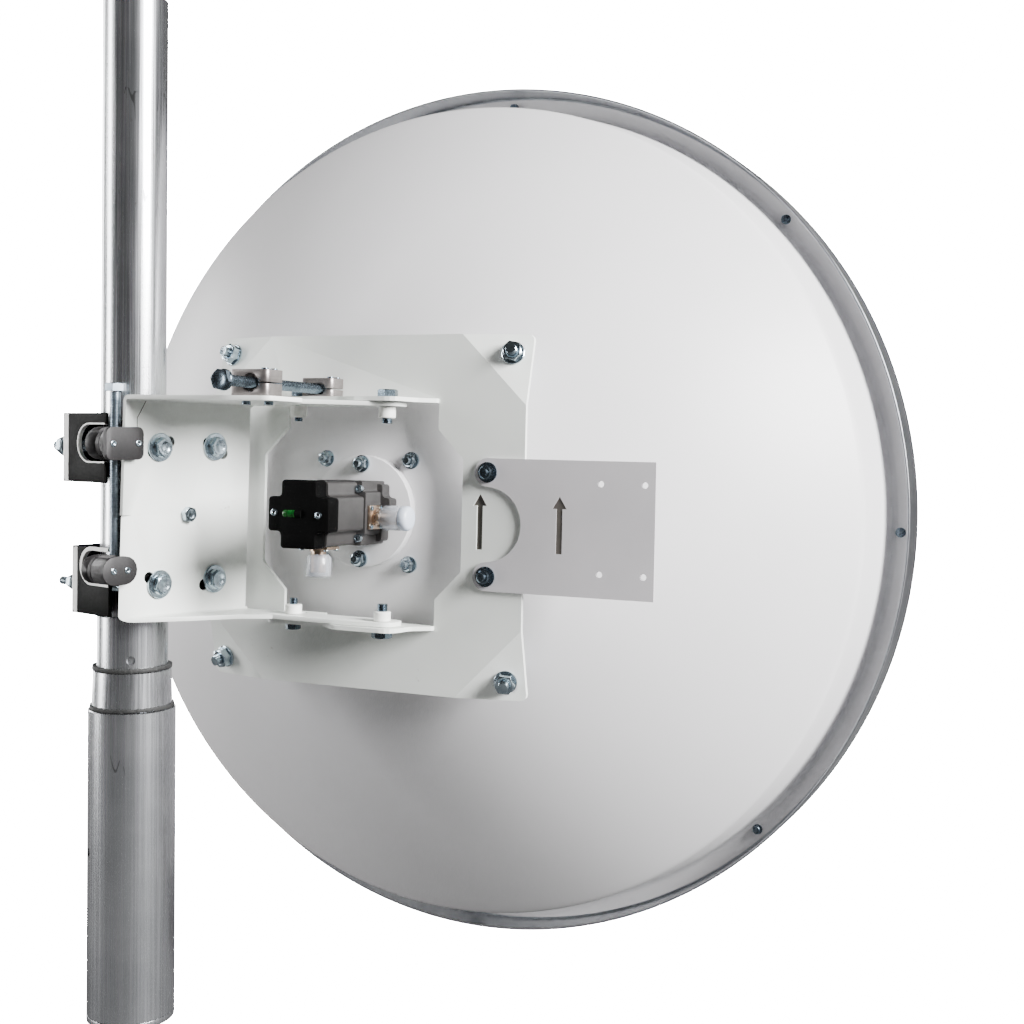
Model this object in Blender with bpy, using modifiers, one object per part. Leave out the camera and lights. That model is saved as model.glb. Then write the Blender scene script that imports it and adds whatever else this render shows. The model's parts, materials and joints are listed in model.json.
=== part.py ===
"""Parabolic dish antenna, 0.95 m across, on a stepped tube mast.

The mast stands on the origin with its axis along +Z. At rest the beam points along +Y.
Lengths are in millimetres and angles in degrees; the helpers turn them into metres and radians.

Two frames are used below.
Clamp frame: x runs along the web of the mast bracket, y points from the web to the mast, z is up.
Dish frame: x is to the right seen from behind the dish, y is the beam, z is up, and the origin is
the centre of the mount plate's rear face.
"""
import bpy
import bmesh
from math import atan2, cos, degrees, hypot, radians, sin, sqrt, tan
from mathutils import Vector

for old in list(bpy.data.objects):
    bpy.data.objects.remove(old, do_unlink=True)

MM = 0.001
GAP = 0.3                        # between faces that touch

# Mast
MAST_HEIGHT = 971.0
UPPER_RADIUS = 30.5
MIDDLE_RADIUS = 33.3
LOWER_RADIUS = 41.0
COLLAR_RADIUS = 36.6
TUBE_WALL = 3.0
MIDDLE_TOP = 384.0
COLLAR_TOP = 332.0
LOWER_TOP = 295.0
OVERLAP = 55.0                   # how far each tube goes down into the next
SEAL_HEIGHT = 4.0
PLUG_HEIGHT = 30.0
PLUG_FLANGE = 6.0

# Head on the mast
PIVOT_HEIGHT = 480.0             # centre bolt of the web
WEB_TURN = 75.0                  # web direction from +X, so 15 degrees off the beam
PIVOT_ALONG = 27.0               # centre bolt from the mast axis, along the web
WEB_INNER = 43.0                 # faces of the web from the mast axis
SHEET = 4.0
WEB_LEFT = -46.2
EAR_LEFT = -57.0
WEB_RIGHT = 102.0
BRACKET_HALF = 104.5
HEAD_RISE = 6.0                  # dish axis above the centre bolt
REST_TILT = 1.65                 # beam below level at rest
TILT_TRAVEL = 8.0                # each way from level
TURN_OUT = 8.5                   # azimuth travel, dish's left side forward
TURN_BACK = 1.5
DISH_X = 193.0                   # mount plate's centre from the mast axis
DISH_Y = 97.5

# Bolts of the web, about the centre bolt
WEB_BOLT_X = 32.5
WEB_BOLT_Z = 64.0
M10 = 5.0
M8 = 4.0
HOLE_EASE = 0.5

# Azimuth pivot and lock bolts, dish frame
PIVOT = (43.0, -28.0)
LOCK = (-58.0, -22.0)

# Mount plate and its arms
PLATE_X = 172.5
PLATE_Z = 170.0
ARM_INNER = 105.0
CORNER = (155.0, 152.0)
BEND_SUM = 276.0                 # |x| + |z| on the corners' bend lines
BEND_ANGLE = 20.0

# Dish
FOCAL_TWICE = 465.0              # twice the focal length
VERTEX = 10.0
DISH_SHEET = 3.0
CREASE = 441.0
COLLAR_FOOT = 452.5
FLANGE_REAR = 312.0
FLANGE_RADIUS = 470.0
HOOP_RADIUS = 475.0
HOOP_REAR = 277.0
HOOP_FRONT = 330.0
HOOP_SHEET = 2.5
HUB_HOLE = 36.0
ROUND_STEPS = 64

PARTS = bpy.data.collections.new("parabolic_dish_antenna")
TOOLS = bpy.data.collections.new("cutters")
for group in (PARTS, TOOLS):
    bpy.context.scene.collection.children.link(group)


def paint(name, colour, roughness, metallic):
    made = bpy.data.materials.new(name)
    made.use_nodes = True
    shader = made.node_tree.nodes["Principled BSDF"]
    shader.inputs["Base Color"].default_value = (*colour, 1.0)
    shader.inputs["Roughness"].default_value = roughness
    shader.inputs["Metallic"].default_value = metallic
    made.diffuse_color = (*colour, 1.0)
    return made


def empty(name, parent=None, place=(0, 0, 0), turn=(0, 0, 0)):
    """A frame for the pieces that hang on it."""
    made = bpy.data.objects.new(name, None)
    PARTS.objects.link(made)
    made.parent = parent
    made.location = Vector(place) * MM
    made.rotation_euler = [radians(a) for a in turn]
    return made


def put(obj, parent, place=(0, 0, 0), turn=(0, 0, 0)):
    obj.parent = parent
    obj.location = Vector(place) * MM
    obj.rotation_euler = [radians(a) for a in turn]
    return obj


def dress(obj, material, smooth=35):
    obj.data.materials.clear()
    obj.data.materials.append(material)
    obj.data.shade_smooth()
    obj.data.set_sharp_from_angle(angle=radians(smooth))
    return obj


def as_tool(obj):
    """Moves a solid to the cutters, out of the model."""
    for group in list(obj.users_collection):
        group.objects.unlink(obj)
    TOOLS.objects.link(obj)
    obj.hide_render = True
    obj.display_type = "WIRE"
    return obj


def boolean(obj, tool, operation):
    change = obj.modifiers.new(tool.name, "BOOLEAN")
    change.operation = operation
    change.solver = "EXACT"
    change.object = as_tool(tool)
    return obj


def cut(obj, *tools):
    for tool in tools:
        boolean(obj, tool, "DIFFERENCE")
    return obj


def join(obj, *tools):
    for tool in tools:
        boolean(obj, tool, "UNION")
    return obj


def mesh_object(name, mesh):
    made = bpy.data.objects.new(name, mesh)
    PARTS.objects.link(made)
    return made


# Outlines

def circle(x, y, radius, count=20):
    return [(x + radius * cos(radians(360 * i / count)),
             y + radius * sin(radians(360 * i / count))) for i in range(count)]


def arc(x, y, radius, first, last, count):
    return [(x + radius * cos(radians(first + (last - first) * i / count)),
             y + radius * sin(radians(first + (last - first) * i / count)))
            for i in range(count + 1)]


def rectangle(x0, y0, x1, y1):
    return [(x0, y0), (x1, y0), (x1, y1), (x0, y1)]


def rounded(corners, count=4):
    """A closed outline; a corner is (x, y) or (x, y, radius)."""
    points = []
    for i, corner in enumerate(corners):
        here = Vector(corner[:2])
        radius = corner[2] if len(corner) > 2 else 0
        if radius == 0:
            points.append(tuple(here))
            continue
        back = (Vector(corners[i - 1][:2]) - here).normalized()
        ahead = (Vector(corners[(i + 1) % len(corners)][:2]) - here).normalized()
        half = back.angle(ahead) / 2
        centre = here + (back + ahead).normalized() * (radius / sin(half))
        start = here + back * (radius / tan(half)) - centre
        end = here + ahead * (radius / tan(half)) - centre
        first = degrees(atan2(start.y, start.x))
        sweep = (degrees(atan2(end.y, end.x)) - first + 180) % 360 - 180
        points += arc(centre.x, centre.y, radius, first, first + sweep, count)
    return points


def stadium(x, y, length, width, angle=0, count=8):
    """A slot or obround of this whole length, along the angle."""
    reach = (length - width) / 2
    dx, dy = reach * cos(radians(angle)), reach * sin(radians(angle))
    return (arc(x + dx, y + dy, width / 2, angle - 90, angle + 90, count)
            + arc(x - dx, y - dy, width / 2, angle + 90, angle + 270, count))


def arc_slot(x, y, radius, first, last, half_width, steps=8):
    """A curved slot about (x, y) whose end centres are at the two angles."""
    outer = arc(x, y, radius + half_width, first, last, steps)
    inner = arc(x, y, radius - half_width, last, first, steps)
    end = arc(x + radius * cos(radians(last)), y + radius * sin(radians(last)),
              half_width, last, last + 180, 6)
    start = arc(x + radius * cos(radians(first)), y + radius * sin(radians(first)),
                half_width, first + 180, first + 360, 6)
    return outer + end[1:-1] + inner + start[1:-1]


def arrow(x, y, height, shaft, head):
    """An upright arrow whose middle is at (x, y)."""
    top, low = y + height / 2, y - height / 2
    neck = top - head * 0.8
    return [(x - shaft / 2, low), (x + shaft / 2, low), (x + shaft / 2, neck),
            (x + head / 2, neck), (x, top), (x - head / 2, neck), (x - shaft / 2, neck)]


# Solids

def flat(name, outline, thickness, holes=()):
    """A filled 2D curve in local XY, extruded evenly about z = 0, as a mesh."""
    curve = bpy.data.curves.new(name, "CURVE")
    curve.dimensions = "2D"
    curve.fill_mode = "BOTH"
    curve.extrude = thickness / 2 * MM
    for loop in (outline, *holes):
        spline = curve.splines.new("POLY")
        spline.points.add(len(loop) - 1)
        for point, (x, y) in zip(spline.points, loop):
            point.co = (x * MM, y * MM, 0, 1)
        spline.use_cyclic_u = True
    source = mesh_object(name + "_outline", curve)
    bpy.context.view_layer.update()
    graph = bpy.context.evaluated_depsgraph_get()
    mesh = bpy.data.meshes.new_from_object(source.evaluated_get(graph))
    bpy.data.objects.remove(source, do_unlink=True)
    bm = bmesh.new()
    bm.from_mesh(mesh)
    bmesh.ops.remove_doubles(bm, verts=bm.verts, dist=0.00001)
    bmesh.ops.recalc_face_normals(bm, faces=bm.faces)
    bm.to_mesh(mesh)
    bm.free()
    return mesh_object(name, mesh)


def prism(name, outline, low, high):
    """An outline without holes from z = low to z = high, with one face at each end."""
    count = len(outline)
    points = [(x * MM, y * MM, z * MM) for z in (low, high) for x, y in outline]
    walls = [(i, (i + 1) % count, (i + 1) % count + count, i + count) for i in range(count)]
    mesh = bpy.data.meshes.new(name)
    mesh.from_pydata(points, [], [tuple(range(count))[::-1], *walls,
                                  tuple(range(count, 2 * count))])
    return mesh_object(name, mesh)


def turned(name, profile, steps=32, closed=True):
    """A Screw about local Z of (radius, height) points, down the outside and up the inside."""
    mesh = bpy.data.meshes.new(name)
    verts = [(r * MM, 0, z * MM) for r, z in profile]
    edges = [(i, i + 1) for i in range(len(verts) - 1)]
    if closed:
        edges.append((len(verts) - 1, 0))
    mesh.from_pydata(verts, edges, [])
    obj = mesh_object(name, mesh)
    screw = obj.modifiers.new("turn", "SCREW")
    screw.axis = "Z"
    screw.angle = radians(360)
    screw.steps = steps
    screw.render_steps = steps
    screw.use_merge_vertices = True
    screw.merge_threshold = 0.00001
    screw.use_smooth_shade = False
    bpy.context.view_layer.update()
    graph = bpy.context.evaluated_depsgraph_get()
    made = bpy.data.meshes.new_from_object(obj.evaluated_get(graph))
    obj.modifiers.clear()
    obj.data = made
    return obj


def solid_turned(name, profile, steps=24):
    """A solid of revolution: its profile starts and ends on the axis."""
    return turned(name, [(0, profile[0][1]), *profile, (0, profile[-1][1])], steps, False)


def box(name, low, high):
    size = [b - a for a, b in zip(low, high)]
    bm = bmesh.new()
    bmesh.ops.create_cube(bm, size=1)
    middle = Vector([(a + b) / 2 for a, b in zip(low, high)]) * MM
    for vert in bm.verts:
        vert.co = Vector([c * s * MM for c, s in zip(vert.co, size)]) + middle
    mesh = bpy.data.meshes.new(name)
    bm.to_mesh(mesh)
    bm.free()
    return mesh_object(name, mesh)


def cylinder(name, radius, low, high, sides=20):
    """A prism about local Z between two heights; six sides make a hexagon."""
    bm = bmesh.new()
    bmesh.ops.create_cone(bm, cap_ends=True, segments=sides, radius1=radius * MM,
                          radius2=radius * MM, depth=(high - low) * MM)
    bmesh.ops.translate(bm, verts=bm.verts, vec=(0, 0, (high + low) / 2 * MM))
    mesh = bpy.data.meshes.new(name)
    bm.to_mesh(mesh)
    bm.free()
    return mesh_object(name, mesh)


def hex_radius(across_flats):
    return across_flats / sqrt(3)


def bolt(name, shank, length, across, head, washer=0.0, washer_radius=0.0, extra=()):
    """A bolt with its seat at local z = 0, head above and shank below.

    extra is a list of (radius, from, to) collars on the shank, such as a bush.
    """
    profile = [(0.6 * across / 2, washer + 0.5)]
    if washer:
        profile = [(0.6 * across / 2, washer + 0.5), (0.6 * across / 2, washer),
                   (washer_radius, washer), (washer_radius, 0)]
    profile.append((shank, 0 if washer else washer + 0.5))
    for radius, top, low in extra:
        profile += [(shank, top), (radius, top), (radius, low), (shank, low)]
    profile += [(shank, -length)]
    body = solid_turned(name, profile, 12)
    hexagon = cylinder(name + "_hexagon", hex_radius(across), washer, washer + head, 6)
    join(body, hexagon)
    return body, hexagon


def put_bolt(made, parent, place, turn, material):
    body, hexagon = made
    for piece in (body, hexagon):
        put(piece, parent, place, turn)
    return dress(body, material)


UP = (0, 0, 0)
DOWN = (180, 0, 0)
TO_CAMERA_SIDE = (90, 0, 0)      # local z to -y, local y to z
ALONG_X = (90, 0, 90)            # local x to y, local y to z, local z to x
TO_FRONT = (-90, 0, 0)           # local z to +y

OFF_WHITE = paint("off_white_paint", (0.74, 0.76, 0.73), 0.45, 0.0)
DISH_WHITE = paint("dish_paint", (0.72, 0.72, 0.73), 0.5, 0.0)
GREY_PLATE = paint("grey_plate", (0.52, 0.51, 0.54), 0.5, 0.0)
MAST_METAL = paint("mast_aluminium", (0.62, 0.64, 0.66), 0.35, 1.0)
BLACK = paint("black_coat", (0.02, 0.02, 0.02), 0.45, 0.0)
SEAL = paint("seal_rubber", (0.015, 0.015, 0.015), 0.8, 0.0)
ZINC = paint("zinc_steel", (0.55, 0.6, 0.66), 0.3, 1.0)
DARK_BLOCK = paint("dark_anodised", (0.1, 0.095, 0.1), 0.45, 0.6)
GREY_BLOCK = paint("brushed_block", (0.42, 0.4, 0.39), 0.4, 1.0)
HOOP_METAL = paint("hoop_aluminium", (0.72, 0.74, 0.77), 0.3, 1.0)
CAST = paint("cast_feed", (0.22, 0.21, 0.2), 0.55, 0.4)
NYLON = paint("clear_cap", (0.85, 0.86, 0.86), 0.4, 0.0)

# Frames
clamp = empty("clamp_frame", None, (0, 0, PIVOT_HEIGHT), (0, 0, WEB_TURN))
WEB_MIDDLE = WEB_INNER + SHEET / 2
tilt = empty("tilt_axis", clamp, (PIVOT_ALONG, -WEB_MIDDLE, 0), (0, REST_TILT, 0))
web_x = PIVOT_ALONG * cos(radians(WEB_TURN)) + WEB_MIDDLE * sin(radians(WEB_TURN))
web_y = PIVOT_ALONG * sin(radians(WEB_TURN)) - WEB_MIDDLE * cos(radians(WEB_TURN))
from_pivot = Vector((DISH_X - web_x, DISH_Y - web_y))
turned_back = (from_pivot.x * cos(radians(WEB_TURN)) + from_pivot.y * sin(radians(WEB_TURN)),
               -from_pivot.x * sin(radians(WEB_TURN)) + from_pivot.y * cos(radians(WEB_TURN)))
head = empty("head_frame", tilt, (*turned_back, HEAD_RISE), (0, 0, -WEB_TURN))
azimuth = empty("azimuth_axis", head, (*PIVOT, 0))
antenna = empty("antenna_frame", azimuth, (-PIVOT[0], -PIVOT[1], 0))


# Mast

def tube(name, radius, low, high, wall=TUBE_WALL, steps=36):
    profile = [(radius, high), (radius, low), (radius - wall, low), (radius - wall, high)]
    return dress(turned(name, profile, steps), MAST_METAL)


def mast():
    lower_wall = LOWER_RADIUS - (COLLAR_RADIUS - 0.8) - GAP
    lower = tube("lower_mast_tube", LOWER_RADIUS, PLUG_FLANGE + GAP, LOWER_TOP, lower_wall)
    middle_foot = LOWER_TOP - OVERLAP
    middle = tube("middle_mast_tube", MIDDLE_RADIUS, middle_foot, MIDDLE_TOP,
                  MIDDLE_RADIUS - UPPER_RADIUS - GAP)
    tube("upper_mast_tube", UPPER_RADIUS, MIDDLE_TOP - OVERLAP, MAST_HEIGHT)
    bore = MIDDLE_RADIUS + GAP
    collar = turned("mast_collar", [
        (COLLAR_RADIUS, COLLAR_TOP), (COLLAR_RADIUS + 1.0, LOWER_TOP + GAP),
        (COLLAR_RADIUS - 0.8, LOWER_TOP + GAP), (COLLAR_RADIUS - 0.8, middle_foot),
        (bore, middle_foot), (bore, COLLAR_TOP)], 36)
    dress(collar, MAST_METAL)
    seals = (("upper_seal_ring", bore, COLLAR_RADIUS + 0.6, COLLAR_TOP),
             ("lower_seal_ring", COLLAR_RADIUS + 1.0 + GAP, COLLAR_RADIUS + 2.8, LOWER_TOP))
    for name, inner, outer, base in seals:
        low, high = base + GAP, base + GAP + SEAL_HEIGHT
        ring = turned(name, [(outer, high), (outer, low), (inner, low), (inner, high)], 36)
        dress(ring, SEAL)
    inside = LOWER_RADIUS - lower_wall - GAP
    plug = solid_turned("mast_foot_plug", [(inside, PLUG_HEIGHT), (inside, PLUG_FLANGE),
                                           (LOWER_RADIUS, PLUG_FLANGE), (LOWER_RADIUS, 0)], 36)
    dress(plug, MAST_METAL)
    pin_hole = cylinder("pin_hole", 4.2, 20, 60, 16)
    cut(middle, put(pin_hole, None, (0, 0, 344), (90, 0, 36)))
    side_hole = cylinder("side_hole", 4.0, 20, 60, 16)
    cut(lower, put(side_hole, None, (0, 0, 161), (90, 0, -36)))


# Clamp on the mast

UPPER_JAW = {"low": 31.0, "high": 96.0, "half": 50.0, "base": 46.0, "bolt": 40.0, "shank": M10,
             "nut": 17.0, "height": 64.6, "slot_z": 68.0, "slot_half": 17.2, "end": 65.0}
LOWER_JAW = {"low": -93.0, "high": -30.0, "half": 45.0, "base": 38.0, "bolt": 36.3, "shank": M8,
             "nut": 13.0, "height": -65.5, "slot_z": -47.3, "slot_half": 14.5, "end": 62.0}
JAW_FRONT = 24.5
JAW_RIB = 5.0
SLOT_END = -17.0
CLAMP_REAR = 37.5
CLAMP_FRONT = 42.5
CLAMP_LEFT = -42.0
CLAMP_RIGHT = 78.0
SADDLE_HALF = 26.0
SADDLE_FOOT = 18.0
SADDLES = (-84.0, -48.0, 40.0, 79.0)
SCREW_X = -43.0
SCREW_Y = -31.0
BLOCK_FRONT = 57.0
BLOCK_REAR = 24.0
FACE_REAR = 52.0
NECK_END = -66.0


def jaw(name, size):
    half, base, low, high = size["half"], size["base"], size["low"], size["high"]
    inner = half - SHEET
    outline = rounded([(-half, -JAW_FRONT), (-inner, -JAW_FRONT), (-inner, base - SHEET, 3),
                       (inner, base - SHEET, 3), (inner, -JAW_FRONT), (half, -JAW_FRONT),
                       (half, base, 7), (-half, base, 7)])
    channel = flat(name, outline, high - low)
    put(channel, clamp, (0, 0, (low + high) / 2))
    hollow = arc(0, 0, UPPER_RADIUS + GAP, 40, 140, 12)
    rib = [(inner + 1, hollow[0][1]), (inner + 1, base - SHEET + 1),
           (-inner - 1, base - SHEET + 1), (-inner - 1, hollow[0][1])] + hollow[::-1]
    for end, side in (("low", 1), ("high", -1)):
        place = size[end] + side * (4 + JAW_RIB / 2)
        piece = flat(f"{name}_{end}_rib", rib, JAW_RIB)
        join(channel, put(piece, clamp, (0, 0, place)))
    slot_half = size["slot_half"]
    middle = -SLOT_END - slot_half
    u_slot = flat(name + "_slot", [(-80, slot_half), (-80, -slot_half)]
                  + arc(middle, 0, slot_half, -90, 90, 12), 2 * half + 10)
    cut(channel, put(u_slot, clamp, (0, 0, size["slot_z"]), ALONG_X))
    for side, reach in ((-1, "near"), (1, "far")):
        hole = cylinder(f"{name}_{reach}_hole", size["shank"] + GAP, base - 10, base + 10, 16)
        cut(channel, put(hole, clamp, (side * size["bolt"], 0, size["height"]), TO_FRONT))
    return dress(channel, BLACK)


def clamp_bolts(name, size, near_end, far_end):
    """Bolts along y from nuts behind the jaw to the clamp plate or the adjuster block."""
    seat = size["base"] + GAP
    for side, reach, end in ((-1, "near", near_end), (1, "far", far_end)):
        washer = size["shank"] * 0.36
        nut = size["shank"] * 1.6
        made = bolt(f"{name}_{reach}_clamp_bolt", size["shank"], seat + end, size["nut"], nut,
                    washer, size["nut"] * 0.6)
        tip = cylinder(f"{name}_{reach}_tip", size["shank"], nut, size["end"] - seat, 16)
        join(made[0], tip)
        place = (side * size["bolt"], seat, size["height"])
        put(tip, clamp, place, TO_FRONT)
        put_bolt(made, clamp, place, TO_FRONT, ZINC)


def clamp_plate():
    holes = [circle(PIVOT_ALONG + x, z, M10 + GAP, 16)
             for x in (-WEB_BOLT_X, WEB_BOLT_X) for z in (-WEB_BOLT_Z, WEB_BOLT_Z)]
    holes.append(circle(PIVOT_ALONG, 0, M8 + GAP, 16))
    holes.append(circle(UPPER_JAW["bolt"], UPPER_JAW["height"], M10 + GAP, 16))
    for side in (-1, 1):
        holes.append(circle(side * LOWER_JAW["bolt"], LOWER_JAW["height"], M8 + GAP, 16))
    outline = rounded([(CLAMP_LEFT, -92, 4), (CLAMP_RIGHT, -92, 8), (CLAMP_RIGHT, 90, 8),
                       (CLAMP_LEFT, 90, 4)])
    plate = flat("clamp_plate", outline, CLAMP_FRONT - CLAMP_REAR, holes)
    put(plate, clamp, (0, -(CLAMP_FRONT + CLAMP_REAR) / 2, 0), TO_CAMERA_SIDE)
    hollow = arc(0, 0, UPPER_RADIUS + GAP, -147, -33, 12)
    rib = [(SADDLE_HALF, -CLAMP_REAR - 1), (SADDLE_HALF, hollow[-1][1])] + hollow[::-1]
    rib += [(-SADDLE_HALF, hollow[0][1]), (-SADDLE_HALF, -CLAMP_REAR - 1)]
    for i, height in enumerate(SADDLES):
        piece = flat(f"clamp_saddle_{i + 1}", rib, 6)
        join(plate, put(piece, clamp, (0, 0, height + 3)))
    return dress(plate, BLACK)


def web_bolts():
    seat = WEB_INNER + SHEET + GAP
    names = {(-1, 1): "upper_near", (1, 1): "upper_far", (-1, -1): "lower_near",
             (1, -1): "lower_far"}
    for (x, z), name in names.items():
        made = bolt(name + "_web_bolt", M10, 12, 16, 7.5, 2.5, 13.3)
        place = (PIVOT_ALONG + x * WEB_BOLT_X, -seat, z * WEB_BOLT_Z)
        put_bolt(made, clamp, place, TO_CAMERA_SIDE, ZINC)
    made = bolt("tilt_pivot_bolt", M8, 13, 13, 6)
    put_bolt(made, clamp, (PIVOT_ALONG, -seat, 0), TO_CAMERA_SIDE, ZINC)


def adjuster_block(name, outline, face, middle, boss, screw_reach):
    """A bar behind the web's left edge, with a face plate that hooks round the edge."""
    body = flat(name, outline, FACE_REAR + 1 - BLOCK_REAR)
    centre = -(FACE_REAR + 1 + BLOCK_REAR) / 2
    put(body, clamp, (0, centre, middle), TO_CAMERA_SIDE)
    plate = flat(name + "_face", face, BLOCK_FRONT - FACE_REAR)
    join(body, put(plate, clamp, (0, -(BLOCK_FRONT + FACE_REAR) / 2, middle), TO_CAMERA_SIDE))
    if boss:
        ring = cylinder(name + "_boss", 7.5, 4, BLOCK_REAR + 1, 20)
        place = (-UPPER_JAW["bolt"], 0, UPPER_JAW["height"])
        join(body, put(ring, clamp, place, TO_CAMERA_SIDE))
        hole = cylinder(name + "_bolt_hole", M10 + GAP, 0, BLOCK_REAR - 2, 16)
        cut(body, put(hole, clamp, place, TO_CAMERA_SIDE))
    slot = box(name + "_web_slot", (NECK_END, -FACE_REAR, middle - 30),
               (0, -CLAMP_REAR + GAP, middle + 30))
    rod = cylinder(name + "_rod_hole", M10 + GAP, *screw_reach, 16)
    cut(body, put(slot, clamp), put(rod, clamp, (SCREW_X, SCREW_Y, 0)))
    return dress(body, DARK_BLOCK)


def elevation_adjuster():
    upper, lower = UPPER_JAW["slot_z"], LOWER_JAW["slot_z"]
    long_body = stadium(-51.0, 0, 40, 30)
    face = rounded([(-71, -15, 6), (-30.5, -15, 6), (-30.5, 15, 6), (-71, 15, 6)])
    adjuster_block("upper_adjuster_block", long_body, face, upper, True, (40, 100))
    obround = stadium(-55.6, 0, 37.6, 26)
    adjuster_block("lower_adjuster_block", obround, obround, lower, False, (-52, 0))
    made = bolt("elevation_screw", M10, 166, 17, 7.5)
    put_bolt(made, clamp, (SCREW_X, SCREW_Y, 116), (0, 0, 0), ZINC)


# Bracket, which tilts on the clamp

def bracket_outlines():
    """Plan outlines of the two flanges, dish frame, with the web's side left wide."""
    end = rounded([(58, -44, 12), (58, -9, 12), (-30, -9, 6), (-36, 5, 5), (-76, 5, 5),
                   (-82, -9, 4), (-127, -9)])
    top = [(-168, -158)] + rounded([(-120, -150), (-8, -150, 10), (-2, -112, 20),
                                    (28, -50, 20)])[1:] + end
    low = [(-168, -158), (-121, -100), (-95, -58), (-70, -40), (20, -44)] + end
    return top, low


def lock_slot():
    dx, dy = LOCK[0] - PIVOT[0], LOCK[1] - PIVOT[1]
    radius, angle = hypot(dx, dy), degrees(atan2(dy, dx))
    ease = degrees((M8 + 1) / radius)
    return arc_slot(*PIVOT, radius, angle - TURN_OUT - ease + 2.9, angle + TURN_BACK + ease - 2.9,
                    M8 + HOLE_EASE)


def mast_bracket():
    reach, out, inside = 225, BRACKET_HALF, BRACKET_HALF - SHEET
    face = WEB_INNER + SHEET
    profile = rounded([(-reach, out), (-WEB_INNER, out, 6), (-WEB_INNER, -out, 6), (-reach, -out),
                       (-reach, -inside), (-face, -inside, 2), (-face, inside, 2),
                       (-reach, inside)])
    far_end = 170
    channel = flat("mast_bracket", profile, far_end - EAR_LEFT)
    middle = (far_end + EAR_LEFT) / 2 - PIVOT_ALONG
    put(channel, tilt, (middle, WEB_MIDDLE, HEAD_RISE), ALONG_X)
    top, low = bracket_outlines()
    frame = rectangle(-240, -240, 110, 70)
    for name, outline, height in (("top", top, 61), ("low", low, -61)):
        waste = flat(name + "_flange_waste", frame, 110, [outline])
        cut(channel, put(waste, head, (0, 0, height)))
    edge, ear, start = WEB_LEFT - PIVOT_ALONG, EAR_LEFT - PIVOT_ALONG, EAR_LEFT - PIVOT_ALONG - 5
    left_wastes = {"upper": [(edge, 120), (start, 120), (start, -42), (ear + 4, -42, 3),
                             (edge, -38, 3)],
                   "lower": [(start, -68), (ear + 2, -68, 2), (edge, -81, 8), (edge, -120),
                             (start, -120)]}
    for name, outline in left_wastes.items():
        waste = flat(name + "_left_waste", rounded(outline), 120)
        cut(channel, put(waste, tilt, (0, 0, 0), TO_CAMERA_SIDE))
    web_waste = box("web_waste", (WEB_RIGHT - PIVOT_ALONG, -8, -BRACKET_HALF + 6 + HEAD_RISE),
                    (far_end, 8, BRACKET_HALF - 6 + HEAD_RISE))
    cut(channel, put(web_waste, tilt))
    radius = hypot(WEB_BOLT_X, WEB_BOLT_Z)
    travel = TILT_TRAVEL + degrees(1 / radius)
    for i, (x, z) in enumerate(((-1, 1), (1, 1), (-1, -1), (1, -1))):
        angle = degrees(atan2(z * WEB_BOLT_Z, x * WEB_BOLT_X))
        slot = flat(f"web_slot_{i + 1}", arc_slot(0, 0, radius, angle - travel, angle + travel,
                                                  M10 + HOLE_EASE), 20)
        cut(channel, put(slot, tilt, (0, 0, 0), TO_CAMERA_SIDE))
    pivot_hole = cylinder("web_pivot_hole", M8 + GAP, -10, 10, 20)
    cut(channel, put(pivot_hole, tilt, (0, 0, 0), TO_CAMERA_SIDE))
    slot = flat("lock_slots", lock_slot(), 300)
    bore = cylinder("pivot_holes", M10 + GAP, -150, 150, 20)
    cut(channel, put(slot, head), put(bore, head, (*PIVOT, 0)))
    return dress(channel, OFF_WHITE)


SCREW_RADIUS = M10
AZ_SCREW_X = -34.0
AZ_SCREW_Z = 116.6
REAR_BLOCK = {"x": (-54.0, -16.0), "y": (-141.0, -113.0), "z": (BRACKET_HALF + GAP, 128.5)}
FRONT_BLOCK = {"x": (-50.0, -17.0), "y": (-30.0, -5.0), "z": (109.0 + GAP, 127.0)}


def azimuth_block(name, parent, size, bore, inner):
    """A split clamp block; its slit opens to the right of the bore."""
    (x0, x1), (y0, y1), (z0, z1) = size["x"], size["y"], size["z"]
    half = (y1 - y0) / 2
    outline = rounded([(x0, y0, 1), (x1, y0, 5), (x1, y1, 5), (x0, y1, 1)])
    block = flat(name, outline, z1 - z0)
    put(block, parent, (0, 0, (z0 + z1) / 2))
    middle = (y0 + y1) / 2
    place = (AZ_SCREW_X, middle, AZ_SCREW_Z)
    if inner:
        cut(block, put(cylinder(name + "_thread", inner, -half - 5, half + 5, 20),
                       parent, place, TO_FRONT))
        for side in (-1, 1):
            recess = cylinder(f"{name}_recess_{side + 2}", bore, half - 5, half + 5, 24)
            turn = TO_FRONT if side > 0 else TO_CAMERA_SIDE
            cut(block, put(recess, parent, place, turn))
    else:
        wide = flat(name + "_bore", stadium(0, 0, 2 * bore, 2 * SCREW_RADIUS + 1.2), 2 * half + 10)
        cut(block, put(wide, parent, place, TO_FRONT))
    slit = box(name + "_slit", (2, -half - 5, -0.6), (40, half + 5, 0.6))
    cut(block, put(slit, parent, place))
    return dress(block, GREY_BLOCK)


def azimuth_adjuster():
    azimuth_block("azimuth_block_rear", head, REAR_BLOCK, 8.6, SCREW_RADIUS + GAP)
    azimuth_block("azimuth_block_front", antenna, FRONT_BLOCK, 9.4, 0)
    made = bolt("azimuth_screw", SCREW_RADIUS, 168.5, 17, 7.5, 1.5, 9)
    put_bolt(made, head, (AZ_SCREW_X, -178.5, AZ_SCREW_Z), TO_CAMERA_SIDE, ZINC)


# Antenna, which turns on the bracket

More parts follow.
